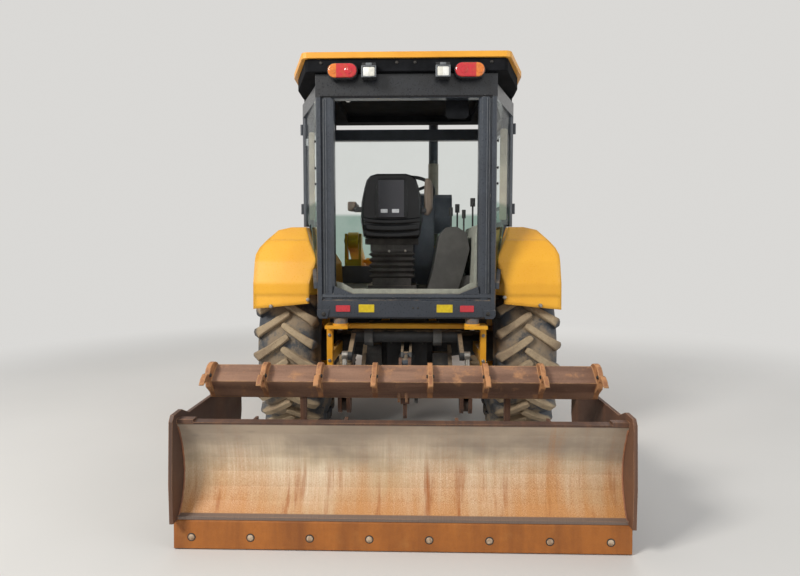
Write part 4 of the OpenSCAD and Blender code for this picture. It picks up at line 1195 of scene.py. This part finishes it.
@dataclass
class SeatUnit:
    """The driver's seat: a moulded shell, stuffed cushions, and padded armrests.

    The outlines of the back, of its raised middle and of its panel hold half of each: distances from the
    seat's middle, and heights.
    """

    centre: float = -120.0
    back: tuple[Flat, ...] = ((205, 1500), (228, 1620), (222, 1800), (206, 1880), (188, 1940), (160, 1972),
                              (110, 1987))
    waist: float = 1750.0
    raised: tuple[Flat, ...] = ((119, 1652), (127, 1740), (117, 1925), (97, 1948))
    panel: tuple[Flat, ...] = ((97, 1658), (97, 1938))
    fold: tuple[Flat, ...] = ((-246, 1500), (-256, 1508), (-258, 1528), (-250, 1540), (-246, 1545),
                              (-252, 1552), (-259, 1566), (-257, 1588), (-249, 1598), (-245, 1603),
                              (-250, 1610), (-255, 1622), (-252, 1638), (-240, 1646), (-225, 1640),
                              (-222, 1502))
    roll_half: float = 212.0
    cushion_half: float = 216.0

    def build(self) -> None:
        """Makes the seat in place of its CAD node, then its small parts."""
        for obj in (self.shell(), self.roll(), self.back_pad(), self.cushion(), *self.arms()):
            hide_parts("seat")
        self.small_parts()

    def whole(self, half: Sequence[Flat]) -> list[Flat]:
        """An outline from its half, which is mirrored about the seat's middle."""
        c = self.centre
        return [(c - x, z) for x, z in half] + [(c + x, z) for x, z in reversed(half)]

    def drawn(self, wider: float = 0.0, drop: float = 0.0) -> list[Flat]:
        """The back's outline, drawn wider and shorter for a layer.

        Args:
            wider: what its sides gain, and its top and its foot lose.
            drop: how much lower all of it lies.

        Returns:
            The outline.
        """
        foot = self.back[0][1] + wider
        return self.whole([(x + wider, max(foot, z + (-wider if z > self.waist else wider) - drop))
                           for x, z in self.back])

    def layer(self, name: str, outline: Sequence[Flat], rear: float, front: float, coat: Coat, bevel: float,
              segments: int) -> bpy.types.Object:
        """One layer of the back."""
        return piece(name, Shape().prism(outline, Across.Y, rear, front), coat, bevel=bevel,
                     segments=segments)

    def shell(self) -> bpy.types.Object:
        """The hard back with its rolled rim, its raised middle and its cloth panel.

        Returns:
            The shell.
        """
        obj = self.layer("seat_shell", self.drawn(), -240, -200, SEAT_SHELL, 17, 5)
        self.layer("seat_raised_back", self.whole(self.raised), -252, -238, SEAT_SHELL, 6, 3)
        self.layer("seat_middle_panel", self.whole(self.panel), -260, -250, CLOTH, 5, 3)
        return obj

    def pad(self, name: str, coat: Coat, shape: Shape, padding: Padding) -> bpy.types.Object:
        """A stuffed pad."""
        return padding.stuff(piece(name, shape, coat))

    def seams(self, half: float) -> tuple[tuple[int, float], ...]:
        """The two sewn channels that run along a pad, each that far from its middle, in metres."""
        middle = self.centre / 1000
        return (0, middle - half), (0, middle + half)

    def back_pad(self) -> bpy.types.Object:
        """The stuffed front of the back.

        Returns:
            The pad.
        """
        padding = Padding(fill=0.6, reach=0.011, channels=(*self.seams(0.11), (2, 1.86)))
        shape = Shape().prism(self.drawn(20, 4), Across.Y, -198, -166)
        return self.pad("seat_back_pad", CLOTH, shape, padding)

    def cushion(self) -> bpy.types.Object:
        """The stuffed cushion.

        Returns:
            The cushion.
        """
        side = ((-144, 1512), (288, 1512), (320, 1536), (316, 1580), (280, 1600), (-144, 1586))
        padding = Padding(fill=0.7, reach=0.013, channels=(*self.seams(0.13), (1, AXLE + 0.16)))
        near, far = self.centre - self.cushion_half, self.centre + self.cushion_half
        return self.pad("seat_cushion", CLOTH, Shape().prism(side, Across.X, near, far), padding)

    def arms(self) -> list[bpy.types.Object]:
        """The left armrest, folded down, and the right one, folded up.

        Returns:
            Both of them.
        """
        c, padding = self.centre, Padding(fill=0.85, reach=0.006, voxel=0.005)
        lying = ((-182, 1712), (70, 1727), (80, 1752), (60, 1776), (-182, 1782))
        face = ((250, 1680), (282, 1676), (310, 1724), (314, 1896), (294, 1950), (264, 1960), (252, 1936),
                (248, 1742))
        left = Shape().prism(lying, Across.X, c - 338, c - 275)
        right = Shape().prism([(c + x, z) for x, z in face], Across.Y, -193, -147)
        return [self.pad(f"armrest_{side}", VINYL, shape, padding)
                for side, shape in (("left", left), ("right", right))]

    def roll(self) -> bpy.types.Object:
        """The folded cover below the back, which flattens and rises towards its ends.

        Returns:
            The cover.
        """
        rings, rear = [], -240
        for x in (-212, -200, -170, -120, -60, 0, 60, 120, 170, 200, 212):
            share = abs(x / self.roll_half)
            rings.append([(self.centre + x, y if y > rear else rear + (y - rear) * (1 - 0.55 * share ** 6),
                           z + 14 * share ** 2) for y, z in self.fold])
        return piece("seat_lower_roll", Shape().skin(rings), SEAT_SHELL, angle=60)

    def small_parts(self) -> None:
        """The blank tags, the arms' hinges and the screws."""
        c = self.centre
        tags = Shape()
        for x0, x1 in ((-200, -148), (-115, -62)):
            tags.plate((x0, 1692), (x1, 1720), 3, Across.Y, -261.6, -260.2)
        piece("seat_tags", tags, WHITE_TAG)
        hinge = ((17, 0), (17, 5), (12, 8), (4, 8))
        arms = Shape().plate((c - 290, 1700), (c - 212, 1740), 12, Across.Y, -206, -188)
        arms.plate((c + 214, 1690), (c + 262, 1732), 12, Across.Y, -206, -188)
        arms.turned(hinge, (c - 262, -206, 1720), Facing.REAR, 28)
        arms.turned(hinge, (c + 238, -206, 1711), Facing.REAR, 28)
        piece("armrest_hinges", arms, GLOSS_BLACK, bevel=2)
        screws = Shape()
        for x, z in ((-141, 1403), (-15, 1405)):
            screws.bolt((x, -170.2, z), Facing.REAR, 8)
        piece("seat_base_screws", screws, ZINC, bevel=0.5)


@dataclass
class Lamps:
    """The lenses of the tail lamps, the work lamps, the headlamps and the cabin lamp."""

    tail_height: float = 2580.0
    tail_face: float = -818.5
    tail_ends: Flat = (365.0, 465.0)
    work_place: float = 240.0
    work_face: float = -844.5
    head_place: Flat = (214.7, 1154.7)
    head_face: float = 2550.0

    def build(self) -> None:
        """Makes the lenses lamp by lamp."""
        for side, sign in SIDES:
            self.tail(side, sign)
            self.work(side, sign)
            self.head(side, sign)
        dome = Shape().turned(((21, 0), (20, 3), (12, 6), (1, 7)), (-398, -648.3, 2438), Facing.REAR)
        piece("cabin_lamp_lens", dome, LAMP_GLASS)
        glass = Shape().plate((276, 2314), (414, 2462), 16, Across.Y, -621.7, -618.5)
        piece("mirror_glass", glass, STEEL, bevel=1)

    def head(self, side: str, sign: int) -> None:
        """One headlamp: its domed glass and its ring.

        Args:
            side: left or right.
            sign: -1 for left, 1 for right.
        """
        (x, z), face = self.head_place, self.head_face
        glass = Shape().turned(((49, 0), (48, 4), (38, 8), (20, 10.5), (1, 11)), (sign * x, face + 0.2, z),
                               Facing.FRONT, 48)
        piece(f"headlamp_glass_{side}", glass, LAMP_GLASS)
        section = ((52.5, -0.4), (57, 0), (57, 6), (50, 7), (49.5, 1))
        ring = Shape().skin([[(sign * x + r * math.cos(a), face + y, z + r * math.sin(a)) for r, y in section]
                             for a in round_about(48)], ends=False)
        piece(f"headlamp_ring_{side}", ring, STEEL)

    def pill(self, sign: int, radius: float) -> list[Flat]:
        """The outline of a tail lamp.

        Args:
            sign: -1 for left, 1 for right.
            radius: the radius of its round ends.

        Returns:
            The outline.
        """
        inner, outer = self.tail_ends
        turns = [(outer, a) for a in range(-90, 91, 12)] + [(inner, a) for a in range(90, 271, 12)]
        return [(sign * (x + radius * math.cos(math.radians(a))),
                 self.tail_height + radius * math.sin(math.radians(a))) for x, a in turns]

    def tail(self, side: str, sign: int) -> None:
        """One tail lamp: a lens in two colours, with two ringed domes in it.

        Args:
            side: left or right.
            sign: -1 for left, 1 for right.
        """
        rings = [[(x, self.tail_face - d, z) for x, z in self.pill(sign, r)]
                 for r, d in ((45, 0), (44.5, 6), (42, 9), (34, 10))]
        piece(f"tail_lens_{side}", Shape().skin(rings), TAIL_LENS, angle=50)
        domes = Shape()
        for x in (375, 480):
            domes.turned(((24, 9.5), (24, 12.5), (21, 13.5), (20, 12), (16, 12.5), (9, 14.5), (1, 15)),
                         (sign * x, self.tail_face, self.tail_height), Facing.REAR, 36)
        piece(f"tail_domes_{side}", domes, TAIL_LENS, angle=50)

    def work(self, side: str, sign: int) -> None:
        """One work lamp: its bulging glass, and the four bars and the bracket of its frame.

        Args:
            side: left or right.
            sign: -1 for left, 1 for right.
        """
        x, z = sign * self.work_place, self.tail_height
        window, middle = rounded((x - 38, z - 44), (x + 38, z + 14), 7), z - 15
        glass = Shape().skin([[(x + (u - x) * k, self.work_face - 0.1 - d, middle + (v - middle) * k)
                               for u, v in window] for k, d in ((1.0, 0), (0.98, 3), (0.8, 5.5), (0.4, 7))])
        piece(f"work_glass_{side}", glass, LAMP_GLASS, angle=50)
        bars = Shape()
        face = self.work_face
        for x0, z0, x1, z1 in ((-48, -51, 48, -45), (-48, 15, 48, 22), (-48, -45, -39, 15),
                               (39, -45, 48, 15)):
            bars.plate((x + x0, z + z0), (x + x1, z + z1), 2, Across.Y, face - 7.5, face, 2)
        bars.plate((x - 20, z + 24), (x + 20, z + 40), 4, Across.Y, face - 5.5, face)
        piece(f"work_frame_{side}", bars, LAMP_GREY, bevel=1.2)


@dataclass
class CabTrim:
    """The reflectors, blank patches, linings, painted highlight lines and bolts on the cab."""

    panel: float = -748.2
    post: float = -162.3
    fender_bolts: tuple[Flat, ...] = ((-682, 1068), (-942, 1021), (677, 1086), (923, 1032))
    linings: tuple[tuple[float, float, float], ...] = ((-751, -706, 2310), (700, 754, 2330))

    def build(self) -> None:
        """Makes the trim from the sill up to the roof."""
        self.sill()
        bolts = [(x, -665.2, z) for x, z in self.fender_bolts]
        self.bolted("fender_bolts", bolts, 11, ZINC, 0.6)
        self.posts()
        bolts = [(x, -782.5, 2640) for x in (-560, -60, 60, 560)]
        self.bolted("roof_bolts", bolts, 9, DARK_BOLT, 0.5)
        ribs = Shape()
        for x in (-420, 420):
            ribs.plate((x - 7, -560), (x + 7, 620), 6, Across.Z, 2705.2, 2709)
        piece("roof_ribs", ribs, ROOF_YELLOW, bevel=2)
        self.mounts()

    def bolted(self, name: str, places: Sequence[Point], size: float, coat: Coat,
               bevel: float) -> None:
        """A row of bolts that look to the rear, as one piece.

        Args:
            name: the piece's name.
            places: where the bolts stand.
            size: the radius of their heads.
            coat: their finish.
            bevel: how far their edges are rounded.
        """
        bolts = Shape()
        for place in places:
            bolts.bolt(place, Facing.REAR, size)
        piece(name, bolts, coat, bevel=bevel)

    def sill(self) -> None:
        """The reflectors, the blank patches and the screws on the panel below the rear window."""
        plates, patches, dots = Shape(), Shape(), Shape()
        for x0, x1 in ((-477, -379), (365, 459)):
            plates.plate((x0, 994), (x1, 1038), 5, Across.Y, self.panel - 6, self.panel)
        piece("reflectors", plates, RED_LENS, bevel=1.5)
        for x0, x1 in ((-322, -215), (207, 316)):
            patches.plate((x0, 990), (x1, 1044), 4, Across.Y, self.panel - 1, self.panel)
        piece("sill_patches", patches, YELLOW_PATCH, bevel=0.4)
        for x in (48, 81):
            dots.turned(((7, 0), (7, 2), (5, 3.5), (1, 3.5)), (x, self.panel, 1021), Facing.REAR, 20)
        for x, z in ((-560, 978), (554, 982)):
            dots.bolt((x, self.panel - 8, z), Facing.REAR, 12)
        piece("sill_bolts", dots, DARK_BOLT, bevel=0.6)

    def posts(self) -> None:
        """The linings and the blank sticker on the door posts, and behind them the thin pale lines that paint
        highlights on the rear posts, and the catches.
        """
        for (side, _), (x0, x1, top) in zip(SIDES, self.linings):
            shape = Shape().plate((x0, 1640), (x1, top), 14, Across.Y, self.post - 7.7, self.post)
            piece(f"post_lining_{side}", shape, CREAM, bevel=3, segments=3)
        sticker = Shape().plate((-776, 2208), (-756, 2261), 3, Across.Y, self.post - 1.1, self.post)
        piece("post_sticker", sticker, WHITE_TAG)
        # Thin pale lines on the rear posts are painted highlights.
        highlight_strips, catches = Shape(), Shape()
        for x in (-537.5, -553.5, 537.5, 553.5):
            highlight_strips.plate((x - 1.5, 1122), (x + 1.5, 2418), 1, Across.Y, -752.5, -750.2, 2)
        for _, sign in SIDES:
            for z in (1861, 1967, 2146):
                catches.turned(((6, 0), (6, 9), (10, 10), (10, 15), (7, 17)), (sign * 605.2, -700, z),
                               Facing.out(sign), 20)
        piece("rear_post_highlight_strips", highlight_strips, LAMP_GREY)
        piece("rear_post_catches", catches, GLOSS_BLACK)

    def mounts(self) -> None:
        """The bolts through the cab's rubber mounts and the clamps of the crossbar."""
        bolts = Shape()
        for _, sign in SIDES:
            bolts.turned(((17, 0), (17, 6), (13, 9), (4, 9)), (sign * 453, -690, 862), Facing.UP, 6)
            for z in (878, 820, 640):
                bolts.bolt((sign * 535, -655.3, z), Facing.REAR, 10)
        piece("mount_bolts", bolts, ZINC, bevel=0.6)


@dataclass
class ScraperTrim:
    """The scraper's plough bolts and weld beads, and the pins of the ripper's claws."""

    foot: float = -2075.0
    half: float = 1057.0
    bolts: int = 8
    first_bolt: float = -990.0
    last_bolt: float = 976.0
    bolt_height: float = 60.0
    pin: Flat = (-1776.0, 771.0)
    claws: int = 8
    first_claw: float = -1002.5
    claw_pitch: float = 286.4
    claw_half: float = 12.7
    line: tuple[Flat, ...] = ((8, 150), (30, 168), (62, 215), (88, 275), (101, 345), (96, 415), (80, 480),
                              (55, 545), (32, 590))
    bead: float = 4.5
    bead_step: float = 9.0
    wobble: float = 0.9

    def build(self) -> None:
        """Makes the small parts of the scraper and of the ripper."""
        self.along_edge("edge_bolts", ((15, 0), (15, 2), (12, 5), (6, 6.5), (1, 7)), 28, PALE_BOLT)
        self.along_edge("edge_bolt_rings", ((20, 0), (19.5, 1.2), (16, 1.8)), 32, DARK_BOLT)
        self.welds()
        pins = Shape()
        for k in range(self.claws):
            x = self.first_claw + k * self.claw_pitch
            for sign in (1, -1):
                pins.bolt((x + sign * self.claw_half, *self.pin), Facing.out(sign), 9)
        piece("claw_pins", pins, DARK_BOLT, "ripper", bevel=0.5)

    def along_edge(self, name: str, profile: Sequence[Flat], sides: int, coat: Coat) -> None:
        """Turns the same profile at each bolt of the cutting edge, as one piece.

        Args:
            name: the piece's name.
            profile: pairs of radius and height.
            sides: how many flats go round.
            coat: its finish.
        """
        heads = Shape()
        for k in range(self.bolts):
            x = self.first_bolt + k * (self.last_bolt - self.first_bolt) / (self.bolts - 1)
            heads.turned(profile, (x, self.foot + 2.6, self.bolt_height), Facing.REAR, sides)
        piece(name, heads, coat, "box")

    def welds(self) -> None:
        """The beads that join the blade to the end plates."""
        beads = Shape()
        for _, sign in SIDES:
            path = []
            for (a, b), (c, d) in zip(self.line, self.line[1:]):
                steps = max(2, int(math.hypot(c - a, d - b) / self.bead_step))
                for k in range(steps):
                    off = random.uniform(-self.wobble, self.wobble)
                    path.append((sign * (self.half - 2 + off), self.foot + a + (c - a) * k / steps - 1,
                                 b + (d - b) * k / steps + off))
            beads.tube(path, self.bead, 10)
        piece("blade_welds", beads, RUST_BAR, "box")


@dataclass
class LoaderTrim:
    """The pin heads of the loader and the studs on the steps."""

    outer: float = 630.3
    pins: tuple[tuple[str, tuple[Point, ...]], ...] = (("chassis", ((1120, 1500, 34), (1150, 480, 28))),
                                                       ("boom", ((3090, 290, 30),)))
    step_heights: Flat = (590.2, 785.2)
    stud_corner: Flat = (625.0, 775.0)
    stud_pitch: Flat = (62.0, 60.0)
    stud_rows: int = 5
    stud_lines: int = 4

    def build(self) -> None:
        """Makes the pin heads body by body, then the steps' studs."""
        for body, spots in self.pins:
            heads = Shape()
            for y, z, r in spots:
                for _, sign in SIDES:
                    self.pin_head(heads, y, z, r, sign)
            piece(f"pin_heads_{body}", heads, DARK_BOLT, body, bevel=0.8)
        studs = Shape()
        for _, sign in SIDES:
            for z in self.step_heights:
                for k in range(self.stud_rows):
                    for q in range(self.stud_lines):
                        place = (sign * (self.stud_corner[0] + k * self.stud_pitch[0]),
                                 self.stud_corner[1] + q * self.stud_pitch[1], z)
                        studs.turned(((9, 0), (7, 4), (3, 4)), place, Facing.UP, 12)
        piece("step_studs", studs, MATT_BLACK)

    def pin_head(self, heads: Shape, y: float, z: float, r: float, sign: int) -> None:
        """Draws one pin's head, with the bolted strap that keeps it from turning.

        Args:
            heads: the shape that it is added to.
            y: its place along the machine.
            z: its height.
            r: its radius.
            sign: -1 for left, 1 for right.
        """
        facing, near, far = Facing.out(sign), sign * self.outer, sign * (self.outer + 5)
        profile = ((r, 0), (r, 6), (r - 4, 9), (r * 0.4, 9), (r * 0.34, 14), (2, 14))
        heads.turned(profile, (near, y, z), facing, 36)
        heads.plate((y - 52, z - 9), (y - r * 0.7, z + 9), 5, Across.X, min(near, far), max(near, far))
        heads.bolt((far, y - 43, z), facing, 6)


def main() -> None:
    """Builds the scene's sub-assemblies in order."""
    logging.basicConfig(level=logging.INFO, format="%(message)s")
    random.seed(7)
    for kind in (Studio, PaintShop, Wheels, SeatUnit, Lamps, CabTrim, ScraperTrim, LoaderTrim):
        log.info("building %s", kind.__name__)
        kind().build()


if __name__ == "__main__":
    main()
